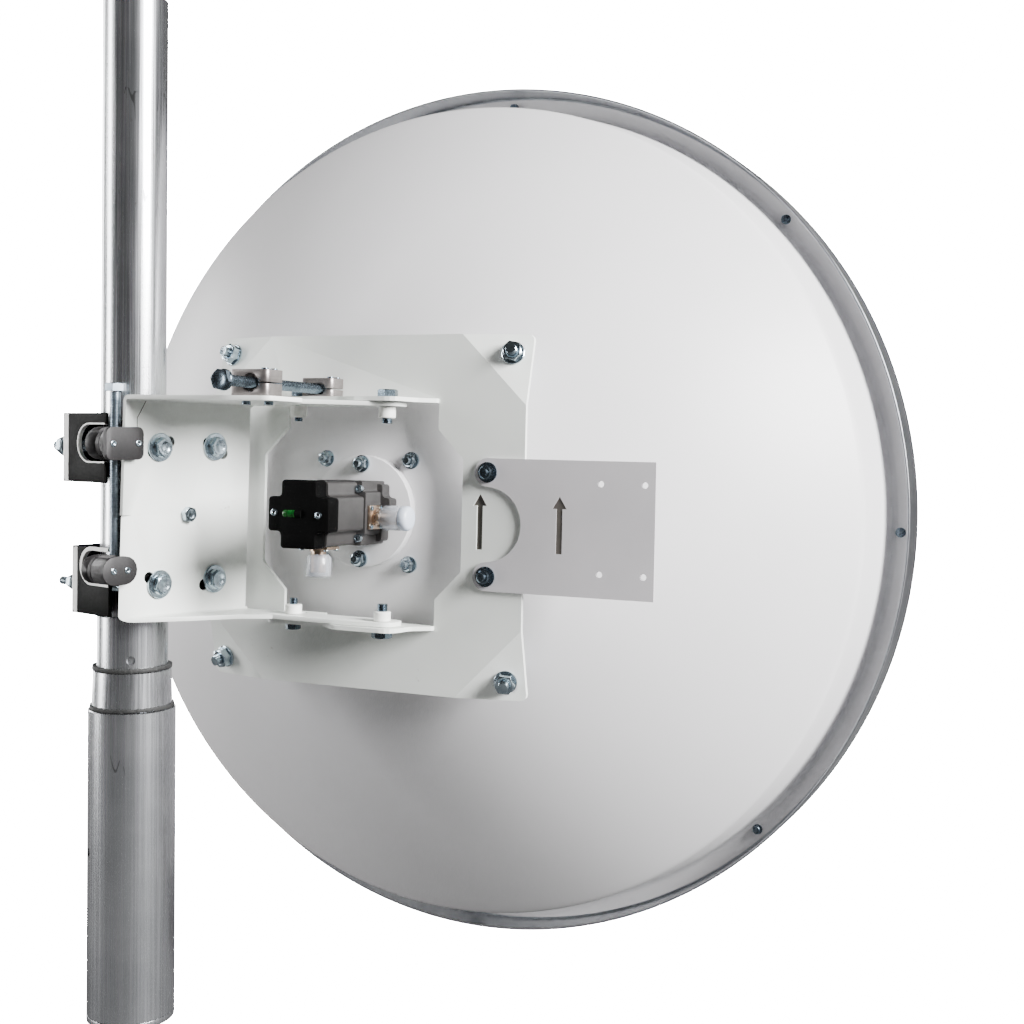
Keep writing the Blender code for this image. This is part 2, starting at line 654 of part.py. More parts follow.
def mount_plate():
    corner_holes = [stadium(x * (CORNER[0] + 2), z * (CORNER[1] + 2), 19, 11.7, x * z * 45, 5)
                    for x in (-1, 1) for z in (-1, 1)]
    opening = rounded([(83, ARM_INNER), (-83, ARM_INNER), (-83, 80, 3), (-109.5, 53, 3),
                       (-109.5, -53, 3), (-83, -80, 3), (-83, -ARM_INNER), (83, -ARM_INNER),
                       (83, -80, 3), (109.5, -53, 3), (109.5, 53, 3), (83, 80, 3)], 2)
    ear_holes = [circle(SIDE_EAR_X, z, M8 + GAP, 12) for z in SIDE_EARS]
    outline = rounded([(x * PLATE_X, z * PLATE_Z, 6)
                       for x, z in ((1, -1), (1, 1), (-1, 1), (-1, -1))], 3)
    plate = flat("mount_plate", outline, SHEET,
                 [opening, arrow(128, -5, 52, 6, 14), *ear_holes, *corner_holes])
    bend_corners(plate)
    put(plate, antenna, (0, SHEET / 2, 0), TO_CAMERA_SIDE)
    top_arm = rounded([(83, 2), (-85, 2), (-85, -30, 8), (-76, -38, 8), (-4, -40, 10),
                       (18, -48, 10), (63, -48, 14), (67, -18, 12), (83, -4, 3)])
    low_arm = rounded([(83, 2), (-85, 2), (-85, -26, 8), (-76, -36, 8), (-14, -36, 10),
                       (2, -48, 10), (63, -48, 14), (67, -18, 12), (83, -4, 3)])
    for name, outline, side in (("top", top_arm, 1), ("low", low_arm, -1)):
        holes = [circle(*PIVOT, M10 + GAP, 16), circle(*LOCK, M8 + GAP, 16)]
        arm = flat(name + "_arm", outline, SHEET, holes)
        join(plate, put(arm, antenna, (0, 0, side * (ARM_INNER + SHEET / 2))))
    return dress(plate, OFF_WHITE)


def bend_corners(plate):
    """Bends the four corners of the flat plate forward about the diagonal bend lines."""
    bm = bmesh.new()
    bm.from_mesh(plate.data)
    reach = BEND_SUM / sqrt(2) * MM
    for x in (-1, 1):
        for z in (-1, 1):
            normal = Vector((x, z, 0)).normalized()
            everything = bm.verts[:] + bm.edges[:] + bm.faces[:]
            bmesh.ops.bisect_plane(bm, geom=everything, plane_co=normal * reach,
                                   plane_no=normal, dist=0.000001)
            for vert in bm.verts:
                beyond = vert.co.dot(normal) - reach
                if beyond > 0.000001:
                    vert.co.z -= beyond * tan(radians(BEND_ANGLE))
    bmesh.ops.triangulate(bm, faces=bm.faces)
    bm.to_mesh(plate.data)
    bm.free()


BUSH = 8.0


def arm_bolts():
    seat = ARM_INNER + SHEET + GAP
    bush_top = -(seat - (BRACKET_HALF - SHEET - GAP))
    sizes = (("pivot", PIVOT, M10, 17, 7.0, -25.0, 10.0), ("lock", LOCK, M8, 13, 6.0, -24.0, 7.0))
    for name, place, shank, across, head_height, end, low_extra in sizes:
        for side, turn, level in ((1, UP, "upper"), (-1, DOWN, "lower")):
            low = bush_top - (11.0 if side > 0 else 9.0)
            made = bolt(f"{level}_{name}_bolt", shank, -end, across, head_height, 0, 0,
                        [(BUSH, bush_top, low)])
            put_bolt(made, antenna, (*place, side * seat), turn, ZINC)


def corner_bolts():
    """Bolts square to the bent corners, with sleeves that hold the dish off the plate."""
    lean = radians(BEND_ANGLE)
    beyond = (sum(CORNER) - BEND_SUM) / sqrt(2)
    seat = beyond * tan(lean) - (SHEET / cos(lean) - SHEET) / 2 - GAP
    radius = hypot(*CORNER)
    reach = 40.0
    while seat + reach * cos(lean) < dish_back(radius - reach * sin(lean)):
        reach += 0.05
    reach -= GAP + 0.2
    for x, z, name in ((-1, 1, "upper_near"), (1, 1, "upper_far"), (-1, -1, "lower_near"),
                       (1, -1, "lower_far")):
        sleeve = [(8, -(SHEET + 2 * GAP + 0.2), -reach)]
        made = bolt(name + "_corner_bolt", M10, reach, 17, 8, 2, 11, sleeve)
        tip = cylinder(name + "_corner_tip", M10, 9, 16, 12)
        join(made[0], tip)
        place = (x * CORNER[0], seat, z * CORNER[1])
        axis = Vector((x * sin(lean) / sqrt(2), -cos(lean), z * sin(lean) / sqrt(2)))
        turn = [degrees(a) for a in axis.to_track_quat("Z", "Y").to_euler()]
        put(tip, antenna, place, turn)
        put_bolt(made, antenna, place, turn, ZINC)


def dish_back(radius):
    return VERTEX + radius ** 2 / (2 * FOCAL_TWICE)


def offset(points, distance):
    """The polyline moved sideways by the distance, with mitred corners."""
    moved = []
    for i, point in enumerate(points):
        here = Vector(point)
        before = (here - Vector(points[max(i - 1, 0)])).normalized()
        after = (Vector(points[min(i + 1, len(points) - 1)]) - here).normalized()
        if i == 0:
            before = after
        if i == len(points) - 1:
            after = before
        across = Vector((before.y + after.y, -before.x - after.x)).normalized()
        mitre = across.dot(Vector((before.y, -before.x)))
        moved.append(tuple(here + across * (distance / mitre)))
    return moved


def reflector():
    rings = 9
    outside = [(FLANGE_RADIUS, FLANGE_REAR), (COLLAR_FOOT + 3, FLANGE_REAR),
               (COLLAR_FOOT, FLANGE_REAR - 3), (CREASE + 2, dish_back(CREASE) + 7)]
    for i in range(rings):
        radius = CREASE - 3 + (HUB_HOLE - CREASE + 3) * i / (rings - 1)
        outside.append((radius, dish_back(radius)))
    inside = offset(outside, DISH_SHEET)
    dish = turned("reflector", outside + inside[::-1], ROUND_STEPS)
    return dress(put(dish, antenna, (0, 0, 0), TO_FRONT), DISH_WHITE)


def rim_hoop():
    inner = HOOP_RADIUS - HOOP_SHEET
    rear = FLANGE_REAR + DISH_SHEET + GAP
    lip = COLLAR_FOOT + 4
    hoop = turned("rim_hoop", [
        (HOOP_RADIUS, HOOP_FRONT), (HOOP_RADIUS, HOOP_REAR), (inner, HOOP_REAR), (inner, rear),
        (lip, rear), (lip, rear + HOOP_SHEET), (inner, rear + HOOP_SHEET), (inner, HOOP_FRONT)],
        ROUND_STEPS)
    return dress(put(hoop, antenna, (0, 0, 0), TO_FRONT), HOOP_METAL)


SIDE_LEFT = 141.0
SIDE_RIGHT = 300.0
SIDE_TOP = 54.0
SIDE_LOW = -69.0
SIDE_EAR_X = 136.5
SIDE_EARS = (41.0, -55.5)
SIDE_SHEET = 2.5


def side_plate():
    middle = sum(SIDE_EARS) / 2
    ear, notch = 13.5, 34.5
    outline = (
        [(SIDE_RIGHT, SIDE_LOW), (SIDE_RIGHT, SIDE_TOP), (SIDE_LEFT, SIDE_TOP)]
        + arc(SIDE_EAR_X, SIDE_EARS[0], ear, 75, 270, 10)
        + arc(SIDE_EAR_X, middle, notch, 84, -84, 14)
        + arc(SIDE_EAR_X, SIDE_EARS[1], ear, 90, 285, 10)
        + [(SIDE_LEFT, SIDE_LOW)])
    holes = [circle(SIDE_EAR_X, z, M8 + GAP, 12) for z in SIDE_EARS]
    holes += [circle(x, middle + z, 3, count)
              for x, count in ((248.5, 10), (290, 12)) for z in (-40.5, 40.5)]
    holes.append(arrow(209, middle + 2, 52, 6, 14))
    plate = flat("side_plate", outline, SIDE_SHEET, holes)
    put(plate, antenna, (0, -GAP - SIDE_SHEET / 2, 0), TO_CAMERA_SIDE)
    depth, rear = 12, -GAP - SIDE_SHEET + 0.6
    start = PLATE_X + 6
    for name, height, side in (("top", SIDE_TOP, 1), ("low", SIDE_LOW, -1)):
        outline = [(start, rear), (SIDE_RIGHT - 2, rear), (SIDE_RIGHT - 2, rear + 4),
                   (start + 8, depth), (start, depth)]
        flange = flat(f"side_plate_{name}_flange", outline, SIDE_SHEET)
        join(plate, put(flange, antenna, (0, 0, height - side * (SIDE_SHEET / 2 + 0.05))))
    return dress(plate, GREY_PLATE)


FEED_HALF_X = 27.0
FEED_LOW = -30.0
FEED_TOP = 29.5
FEED_MIDDLE = (FEED_LOW + FEED_TOP) / 2
DISC_RADIUS = 54.0
DISC_REAR = 3.0
CAP_REAR = -110.0
CAP_FRONT = -92.0
SEAM = -40.0
HUB_RADIUS = 35.5


def feed():
    rim = [(DISC_RADIUS, dish_back(DISC_RADIUS) - GAP), (DISC_RADIUS, DISC_REAR)]
    front = 22.0
    inner = [(r, dish_back(r) - GAP) for r in (HUB_RADIUS, 45.0)]
    disc = solid_turned("feed_disc", [(HUB_RADIUS, front), *inner, *rim], 32)
    dress(put(disc, antenna, (0, 0, 0), TO_FRONT), DISH_WHITE)
    steps = cap_corners(FEED_HALF_X, 29.5, 19.5, 16.0)
    sections = (("feed_body", steps, CAP_FRONT + GAP, DISC_REAR - GAP),
                ("feed_front", cap_corners(29.0, 30.0, 25.0, 20.0, 2), SEAM, DISC_REAR - GAP - 0.5),
                ("feed_flange", cap_corners(39.0, 27.0, 31.0, 14.0), -12.0, DISC_REAR - GAP - 1.0))
    solids = []
    for name, corners, rear, front in sections:
        outline = rounded([(x, z + FEED_MIDDLE, r) for x, z, r in corners], 3)
        piece = prism(name, outline, -front, -rear)
        solids.append(put(piece, antenna, (0, 0, 0), TO_CAMERA_SIDE))
    body = join(*solids)
    dress(body, CAST)
    wide, tall, notch_x, notch_z = 31.5, 30.8, 18.0, 15.5
    outline = [(x, z + FEED_MIDDLE, r) for x, z, r in cap_corners(wide, tall, notch_x, notch_z)]
    cap = prism("feed_cap", rounded(outline, 3), -CAP_FRONT, -CAP_REAR)
    put(cap, antenna, (0, 0, 0), TO_CAMERA_SIDE)
    dress(cap, BLACK)


def cap_corners(wide, tall, notch_x, notch_z, fillet=4):
    """A rectangle with stepped corners, as (x, z, radius) round the outline."""
    edge = fillet * 0.75
    quarter = [(wide, notch_z, edge), (notch_x, notch_z, fillet), (notch_x, tall, edge)]
    corners = []
    for x, z in ((1, 1), (-1, 1), (-1, -1), (1, -1)):
        piece = quarter if x * z > 0 else quarter[::-1]
        corners += [(x * a, z * b, r) for a, b, r in piece]
    return corners


def connectors():
    """Coaxial connectors with clear caps, on the right and under the feed body."""
    profile = [(9.5, 40), (9.5, 14), (6.2, 14), (6.2, 4), (11.5, 4), (11.5, GAP)]
    side = solid_turned("side_connector", profile, 16)
    dress(put(side, antenna, (29.0, -25, -4), (0, 90, 0)), NYLON)
    profile = [(9.0, 28), (9.0, 12), (6.2, 12), (6.2, 4), (11.5, 4), (11.5, GAP)]
    low = solid_turned("lower_connector", profile, 16)
    dress(put(low, antenna, (0, -73, FEED_LOW), (180, 0, 0)), NYLON)


def front_feed():
    """The waveguide tube and the small splash plate in front, which the photo does not show."""
    start, end = 22.0 + GAP, 205.0
    foot = [(14, start + 12), (24, start + 6), (24, start)]
    pipe = solid_turned("feed_tube", [(14, end), *foot], 20)
    dress(put(pipe, antenna, (0, 0, 0), TO_FRONT), HOOP_METAL)
    splash = solid_turned("subreflector", [(46, end + 24), (46, end + 20), (20, end + GAP)], 28)
    dress(put(splash, antenna, (0, 0, 0), TO_FRONT), DISH_WHITE)


mast()
jaw("upper_clamp_jaw", UPPER_JAW)
jaw("lower_clamp_jaw", LOWER_JAW)
clamp_bolts("upper", UPPER_JAW, BLOCK_REAR - 3, CLAMP_FRONT - GAP)
clamp_bolts("lower", LOWER_JAW, CLAMP_FRONT - GAP, CLAMP_FRONT - GAP)
clamp_plate()
web_bolts()
elevation_adjuster()
mast_bracket()
azimuth_adjuster()
mount_plate()
arm_bolts()
corner_bolts()
reflector()
rim_hoop()
side_plate()
feed()
connectors()
front_feed()
bpy.context.view_layer.update()
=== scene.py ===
import bpy
import bmesh
import json
from math import cos, pi, radians, sin, sqrt, tan
from mathutils import Euler, Matrix, Vector, noise


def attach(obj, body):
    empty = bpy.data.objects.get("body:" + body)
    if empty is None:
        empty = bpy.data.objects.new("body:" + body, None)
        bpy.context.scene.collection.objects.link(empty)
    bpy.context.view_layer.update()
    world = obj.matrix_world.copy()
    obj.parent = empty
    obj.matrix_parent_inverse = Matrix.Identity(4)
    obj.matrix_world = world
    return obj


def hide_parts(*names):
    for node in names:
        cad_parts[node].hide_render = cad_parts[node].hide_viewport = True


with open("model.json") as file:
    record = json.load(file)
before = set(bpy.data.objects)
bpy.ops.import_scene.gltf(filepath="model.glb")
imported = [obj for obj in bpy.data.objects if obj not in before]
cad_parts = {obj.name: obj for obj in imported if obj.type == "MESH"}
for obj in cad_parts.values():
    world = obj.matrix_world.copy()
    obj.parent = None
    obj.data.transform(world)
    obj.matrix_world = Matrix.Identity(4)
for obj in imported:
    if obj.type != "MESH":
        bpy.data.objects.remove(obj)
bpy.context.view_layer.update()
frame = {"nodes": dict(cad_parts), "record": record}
print("frame loaded:", len(frame["nodes"]), "nodes")

mm = 0.001

# The frames that the pieces are laid out in: the clamp's, the tilted bracket's and the dish's
heading = 75   # degrees that the clamp is turned about the mast
tilt = {"pivot": (0.027, -0.045, 0), "rest": 1.65}
clampFrame = Matrix.Translation((0, 0, 0.480)) @ Matrix.Rotation(radians(heading), 4, "Z")
tiltFrame = (clampFrame @ Matrix.Translation(tilt["pivot"])
             @ Matrix.Rotation(radians(tilt["rest"]), 4, "Y"))
dishOffset = Matrix.Rotation(radians(-heading), 3, "Z") @ Vector((0.142545, 0.083067, 0.006))
dishFrame = (tiltFrame @ Matrix.Translation(dishOffset)
             @ Matrix.Rotation(radians(-heading), 4, "Z"))
world = Matrix.Identity(4)


# Node helpers, for shaders and for Geometry Nodes

socketKinds = {float: "NodeSocketFloat", int: "NodeSocketInt", tuple: "NodeSocketVector",
               type(None): "NodeSocketMaterial"}


def addInputs(tree, inputs):   # the kind of an input follows from its first value
    for label, value in inputs.items():
        kind = socketKinds[type(value)]
        socket = tree.interface.new_socket(label, in_out="INPUT", socket_type=kind)
        if value is not None:
            socket.default_value = value


def startGroup(name, inputs, outputs):   # a shader group: its tree, what comes in and what goes out
    tree = bpy.data.node_groups.new(name, "ShaderNodeTree")
    addInputs(tree, inputs)
    for label in outputs:
        tree.interface.new_socket(label, in_out="OUTPUT", socket_type="NodeSocketFloat")
    return tree, tree.nodes.new("NodeGroupInput").outputs, tree.nodes.new("NodeGroupOutput").inputs


def startShape(name, inputs):   # a Geometry Nodes tree, likewise
    tree = bpy.data.node_groups.new(name, "GeometryNodeTree")
    tree.is_modifier = True
    tree.interface.new_socket("Geometry", in_out="INPUT", socket_type="NodeSocketGeometry")
    addInputs(tree, inputs)
    tree.interface.new_socket("Geometry", in_out="OUTPUT", socket_type="NodeSocketGeometry")
    return tree, tree.nodes.new("NodeGroupInput").outputs, tree.nodes.new("NodeGroupOutput").inputs


def addNode(tree, kind, links=(), **settings):   # links: (input name or number, socket or value)
    node = tree.nodes.new(kind)
    for key, value in settings.items():
        setattr(node, key, value)
    for slot, value in links:
        if isinstance(value, bpy.types.NodeSocket):
            tree.links.new(value, node.inputs[slot])
        else:
            node.inputs[slot].default_value = value
    return node


def calculate(tree, operation, first, second=0.0):
    node = addNode(tree, "ShaderNodeMath", [(0, first), (1, second)], operation=operation)
    return node.outputs[0]


def spread(tree, value, low, high, outLow=0.0, outHigh=1.0):
    node = addNode(tree, "ShaderNodeMapRange", [
        ("Value", value), ("From Min", low), ("From Max", high), ("To Min", outLow), ("To Max", outHigh)])
    return node.outputs["Result"]


def mixColours(tree, factor, first, second):
    node = addNode(tree, "ShaderNodeMix", [("Factor", factor)], data_type="RGBA")
    for label, value in (("A", first), ("B", second)):
        socket = next(s for s in node.inputs if s.name == label and s.type == "RGBA")
        if isinstance(value, tuple):
            socket.default_value = (*value, 1.0)
        else:
            tree.links.new(value, socket)
    return next(s for s in node.outputs if s.type == "RGBA")


# Patterns on object coordinates: clouds with speckle, drawn streaks, and fine scratches

def makeMottle():
    tree, given, made = startGroup(
        "mottle", {"Cloud Scale": 6.0, "Speckle Scale": 300.0, "Seed": 0.0}, ["Cloud", "Speckle"])
    coords = tree.nodes.new("ShaderNodeTexCoord").outputs["Object"]
    for label, detail in (("Cloud", 3.0), ("Speckle", 2.0)):
        pattern = addNode(tree, "ShaderNodeTexNoise", [
            ("Vector", coords), ("Scale", given[label + " Scale"]), ("W", given["Seed"]),
            ("Detail", detail), ("Roughness", 0.55)], noise_dimensions="4D")
        tree.links.new(pattern.outputs["Fac"], made[label])
    return tree


def makeStreaks():
    tree, given, made = startGroup("streaks", {"Stretch": (400.0, 400.0, 6.0)}, ["Height"])
    coords = tree.nodes.new("ShaderNodeTexCoord").outputs["Object"]
    mapping = addNode(tree, "ShaderNodeMapping", [("Vector", coords), ("Scale", given["Stretch"])])
    pattern = addNode(tree, "ShaderNodeTexNoise", [
        ("Vector", mapping.outputs["Vector"]), ("Scale", 1.0), ("Detail", 4.0), ("Roughness", 0.5)])
    tree.links.new(pattern.outputs["Fac"], made["Height"])
    return tree


def makeScratches():   # where a stretched noise crosses its middle, in some places only
    tree, given, made = startGroup(
        "scratches", {"Stretch": (60.0, 60.0, 5.0), "Width": 0.006, "Amount": 0.5, "Seed": 0.0}, ["Mask"])
    coords = tree.nodes.new("ShaderNodeTexCoord").outputs["Object"]
    mapping = addNode(tree, "ShaderNodeMapping", [("Vector", coords), ("Scale", given["Stretch"])])
    line, place = [
        addNode(tree, "ShaderNodeTexNoise", [
            ("Vector", vector), ("Scale", scale), ("Detail", 1.0), ("W", given["Seed"])],
            noise_dimensions="4D").outputs["Fac"]
        for vector, scale in ((mapping.outputs["Vector"], 1.0), (coords, 14.0))]
    off = calculate(tree, "ABSOLUTE", calculate(tree, "SUBTRACT", line, 0.5))
    thin = calculate(tree, "LESS_THAN", off, given["Width"])
    where = calculate(tree, "LESS_THAN", place, given["Amount"])
    tree.links.new(calculate(tree, "MULTIPLY", thin, where), made["Mask"])
    return tree


mottle = makeMottle()
streaks = makeStreaks()
scratches = makeScratches()

# What a finish has unless its own look says otherwise
plain = {"metallic": 0.0, "specular": 0.5, "transmission": 0.0, "cloud": 8.0, "speckle": 500.0,
         "seed": 0.0, "bump": 0.1, "bumpDepth": 0.0004, "roughSpread": 0.05, "scratchWidth": 0.004,
         "scratchTint": 0.7, "dirtFrom": 0.34, "dirtTint": 0.6}
shaderInputs = {"Metallic": "metallic", "Specular IOR Level": "specular",
                "Transmission Weight": "transmission"}
dirtPattern = {"Cloud Scale": 22.0, "Speckle Scale": 160.0}
middleThird = (0.35, 0.65)   # of a noise's range, over which two colours blend


def makeFinish(name, own):
    look = {**plain, **own}
    made = bpy.data.materials.new(name)
    made.use_nodes = True
    tree = made.node_tree
    shader = tree.nodes["Principled BSDF"]
    for label, key in shaderInputs.items():
        shader.inputs[label].default_value = look[key]
    cloud = addNode(tree, "ShaderNodeGroup", [
        ("Cloud Scale", look["cloud"]), ("Speckle Scale", look["speckle"]), ("Seed", look["seed"])],
        node_tree=mottle)
    blend = spread(tree, cloud.outputs["Cloud"], *middleThird)
    colour = mixColours(tree, blend, look["colour"], look["shade"])
    height = cloud.outputs["Speckle"]
    if "grain" in look:
        grain = addNode(tree, "ShaderNodeGroup", [("Stretch", look["grain"])], node_tree=streaks)
        height = grain.outputs["Height"]
        mask = spread(tree, height, *middleThird, 0.0, look["grainTint"])
        colour = mixColours(tree, mask, colour, look["shade"])
    if "scratch" in look:
        lines = addNode(tree, "ShaderNodeGroup", [
            ("Stretch", look["scratch"]), ("Width", look["scratchWidth"]),
            ("Amount", look["scratchAmount"]), ("Seed", look["seed"] + 3.0)], node_tree=scratches)
        mask = calculate(tree, "MULTIPLY", lines.outputs["Mask"], look["scratchTint"])
        colour = mixColours(tree, mask, colour, look["scratchColour"])
    if "dirt" in look:
        dirt = addNode(tree, "ShaderNodeGroup", [*dirtPattern.items(), ("Seed", look["seed"] + 7.0)],
                       node_tree=mottle)
        both = calculate(tree, "MULTIPLY", dirt.outputs["Cloud"], dirt.outputs["Speckle"])
        mask = spread(tree, both, look["dirtFrom"], look["dirtFrom"] + 0.08, 0.0, look["dirtTint"])
        colour = mixColours(tree, mask, colour, look["dirt"])
    tree.links.new(colour, shader.inputs["Base Color"])
    least, most = look["roughness"] - look["roughSpread"], look["roughness"] + look["roughSpread"]
    tree.links.new(spread(tree, height, 0.3, 0.7, least, most), shader.inputs["Roughness"])
    bump = addNode(tree, "ShaderNodeBump", [
        ("Strength", look["bump"]), ("Distance", look["bumpDepth"]), ("Height", height)])
    tree.links.new(bump.outputs["Normal"], shader.inputs["Normal"])
    return made


finishes = {
    "dishPaint": {
        "colour": (0.7, 0.69, 0.7), "shade": (0.67, 0.66, 0.67), "roughness": 0.42, "cloud": 5.0,
        "speckle": 900.0, "bump": 0.05, "bumpDepth": 0.0002, "specular": 0.55},
    "whitePaint": {
        "colour": (0.8, 0.82, 0.78), "shade": (0.76, 0.78, 0.75), "roughness": 0.42, "cloud": 12.0,
        "speckle": 700.0, "bump": 0.08, "bumpDepth": 0.0002, "dirt": (0.42, 0.4, 0.36), "dirtFrom": 0.4},
    "greyPaint": {
        "colour": (0.52, 0.5, 0.515), "shade": (0.48, 0.465, 0.48), "roughness": 0.45, "cloud": 14.0,
        "speckle": 700.0, "bump": 0.08, "bumpDepth": 0.0002},
    "drawnTube": {
        "colour": (0.62, 0.63, 0.65), "shade": (0.5, 0.51, 0.53), "metallic": 0.97, "roughness": 0.26,
        "roughSpread": 0.08, "cloud": 18.0, "grain": (500.0, 500.0, 5.0), "grainTint": 0.35,
        "bump": 0.12, "scratch": (55.0, 55.0, 8.0), "scratchAmount": 0.4,
        "scratchColour": (0.12, 0.12, 0.12), "dirt": (0.3, 0.27, 0.25), "dirtFrom": 0.4,
        "dirtTint": 0.5},
    "hoopStrip": {
        "colour": (0.58, 0.6, 0.62), "shade": (0.48, 0.5, 0.53), "metallic": 1.0, "roughness": 0.33,
        "cloud": 30.0, "bump": 0.08, "seed": 4.0},
    "blackCoat": {
        "colour": (0.0025, 0.0025, 0.0025), "shade": (0.005, 0.005, 0.0045), "roughness": 0.5,
        "specular": 0.08, "cloud": 30.0, "speckle": 400.0, "bump": 0.15},
    "bareEdge": {
        "colour": (0.78, 0.77, 0.74), "shade": (0.62, 0.61, 0.57), "metallic": 0.2, "roughness": 0.5,
        "cloud": 160.0, "speckle": 600.0, "bump": 0.3, "dirt": (0.05, 0.05, 0.05), "dirtFrom": 0.38},
    # painted sheen: a light colour standing for the backdrop's reflection in the jaws' rounded bends, and
    # for their bare slot rims shown brighter than their light gives
    "paintedSheenAndBareRim": {
        "colour": (0.85, 0.84, 0.82), "shade": (0.7, 0.69, 0.67), "metallic": 0.1, "roughness": 0.35,
        "cloud": 120.0, "bump": 0.15, "dirt": (0.04, 0.04, 0.04), "dirtFrom": 0.42},
    # painted shade: the dark sheets inside the cut arrows
    "arrowShade": {
        "colour": (0.085, 0.075, 0.066), "shade": (0.07, 0.062, 0.055), "roughness": 0.7, "cloud": 60.0,
        "bump": 0.05},
    "seamShade": {
        "colour": (0.1, 0.095, 0.08), "shade": (0.16, 0.15, 0.13), "roughness": 0.8, "cloud": 120.0},
    "zincPlate": {
        "colour": (0.58, 0.68, 0.74), "shade": (0.36, 0.44, 0.5), "metallic": 1.0, "roughness": 0.2,
        "cloud": 110.0, "speckle": 600.0},
    "darkZinc": {
        "colour": (0.2, 0.25, 0.3), "shade": (0.13, 0.17, 0.2), "metallic": 1.0, "roughness": 0.26,
        "cloud": 60.0, "speckle": 600.0, "seed": 2.0},
    "screwZinc": {
        "colour": (0.42, 0.48, 0.53), "shade": (0.24, 0.29, 0.34), "metallic": 0.9, "roughness": 0.36,
        "cloud": 40.0, "speckle": 600.0, "seed": 3.0},
    "darkBlock": {
        "colour": (0.019, 0.017, 0.018), "shade": (0.013, 0.012, 0.0125), "metallic": 0.2,
        "roughness": 0.5, "cloud": 60.0, "grain": (900.0, 900.0, 120.0), "grainTint": 0.2, "bump": 0.12},
    "machinedBlock": {
        "colour": (0.34, 0.31, 0.3), "shade": (0.21, 0.19, 0.185), "metallic": 0.85, "roughness": 0.38,
        "cloud": 50.0, "grain": (700.0, 60.0, 700.0), "grainTint": 0.45, "bump": 0.2},
    "castMetal": {
        "colour": (0.032, 0.03, 0.0295), "shade": (0.024, 0.023, 0.0225), "metallic": 0.2,
        "roughness": 0.5, "cloud": 60.0, "speckle": 900.0, "bump": 0.25},
    "blackPlastic": {
        "colour": (0.001, 0.001, 0.001), "shade": (0.002, 0.002, 0.002), "roughness": 0.7,
        "specular": 0.04, "cloud": 60.0, "speckle": 900.0},
    "sealRubber": {
        "colour": (0.01, 0.01, 0.01), "shade": (0.02, 0.02, 0.02), "roughness": 0.7, "cloud": 90.0,
        "speckle": 300.0, "bump": 0.5, "bumpDepth": 0.001},
    "nylon": {
        "colour": (0.88, 0.88, 0.85), "shade": (0.82, 0.82, 0.78), "roughness": 0.4, "cloud": 80.0,
        "bump": 0.05},
    "brass": {
        "colour": (0.62, 0.47, 0.36), "shade": (0.5, 0.38, 0.29), "metallic": 1.0, "roughness": 0.3,
        "cloud": 140.0, "speckle": 700.0, "bump": 0.08},
    "clearPlastic": {
        "colour": (0.9, 0.92, 0.96), "shade": (0.84, 0.87, 0.93), "roughness": 0.22, "cloud": 60.0,
        "transmission": 0.8},
    "milkyPlastic": {
        "colour": (0.72, 0.78, 0.88), "shade": (0.66, 0.73, 0.85), "roughness": 0.35, "cloud": 60.0,
        "transmission": 0.25},
    "levelFluid": {
        "colour": (0.008, 0.12, 0.016), "shade": (0.004, 0.06, 0.008), "roughness": 0.12, "cloud": 120.0,
        "bump": 0.02},
}
finish = {name: makeFinish(name, look) for name, look in finishes.items()}
print("finishes built:", len(finish))


# Mesh helpers

def at(axes, place, axis="up", spin=0):   # a matrix for pieces drawn in millimetres along their own z
    turn = {"up": (0, 0, 0), "down": (180, 0, 0), "rear": (90, 0, 0), "front": (-90, 0, 0),
            "right": (0, 90, 0), "left": (0, -90, 0)}[axis]
    turned = Euler([radians(a) for a in turn]).to_matrix().to_4x4()
    return (axes @ Matrix.Translation(Vector(place) * mm) @ turned
            @ Matrix.Rotation(radians(spin), 4, "Z") @ Matrix.Scale(mm, 4))


dishRear = at(dishFrame, (0, 0, 0), "rear")   # x along the dish, y up and z out of its back


def inScene(name, data):
    made = bpy.data.objects.new(name, data)
    bpy.context.scene.collection.objects.link(made)
    return made


def joinRings(bm, low, high):
    for i in range(max(len(low), len(high))):
        corners = [low[i % len(low)], low[(i + 1) % len(low)],
                   high[(i + 1) % len(high)], high[i % len(high)]]
        unique = list(dict.fromkeys(corners))
        if len(unique) > 2:
            bm.faces.new(unique)


def joinAll(bm, rings, closed=False, capped=False):
    for low, high in zip(rings, rings[1:] + (rings[:1] if closed else [])):
        joinRings(bm, low, high)
    if capped:
        bm.faces.new(rings[0])
        bm.faces.new(rings[-1])


def ringOf(bm, place, points):
    return [bm.verts.new(place @ Vector(p)) for p in points]


def polar(radius, angle, height):
    return radius * cos(angle), radius * sin(angle), height


def lathe(bm, place, profile, steps=32, closed=False):   # profile: (radius, height) pairs
    rings = []
    for radius, height in profile:
        angles = [2 * pi * i / steps for i in range(steps)] if radius else [0]
        rings.append(ringOf(bm, place, [polar(radius, a, height) for a in angles]))
    joinAll(bm, rings, closed)
    if not closed:
        for ring in (rings[0], rings[-1]):
            if len(ring) > 1:
                bm.faces.new(ring)


# A hexagon head's rim, shelf and well are shares of half its width, fall is the chamfer's slope, and
# the others are millimetres
hexShape = {"rim": 0.94, "shelf": 0.62, "well": 0.55, "fall": 0.58, "deep": 0.25, "under": 0.15,
            "foot": 0.2}


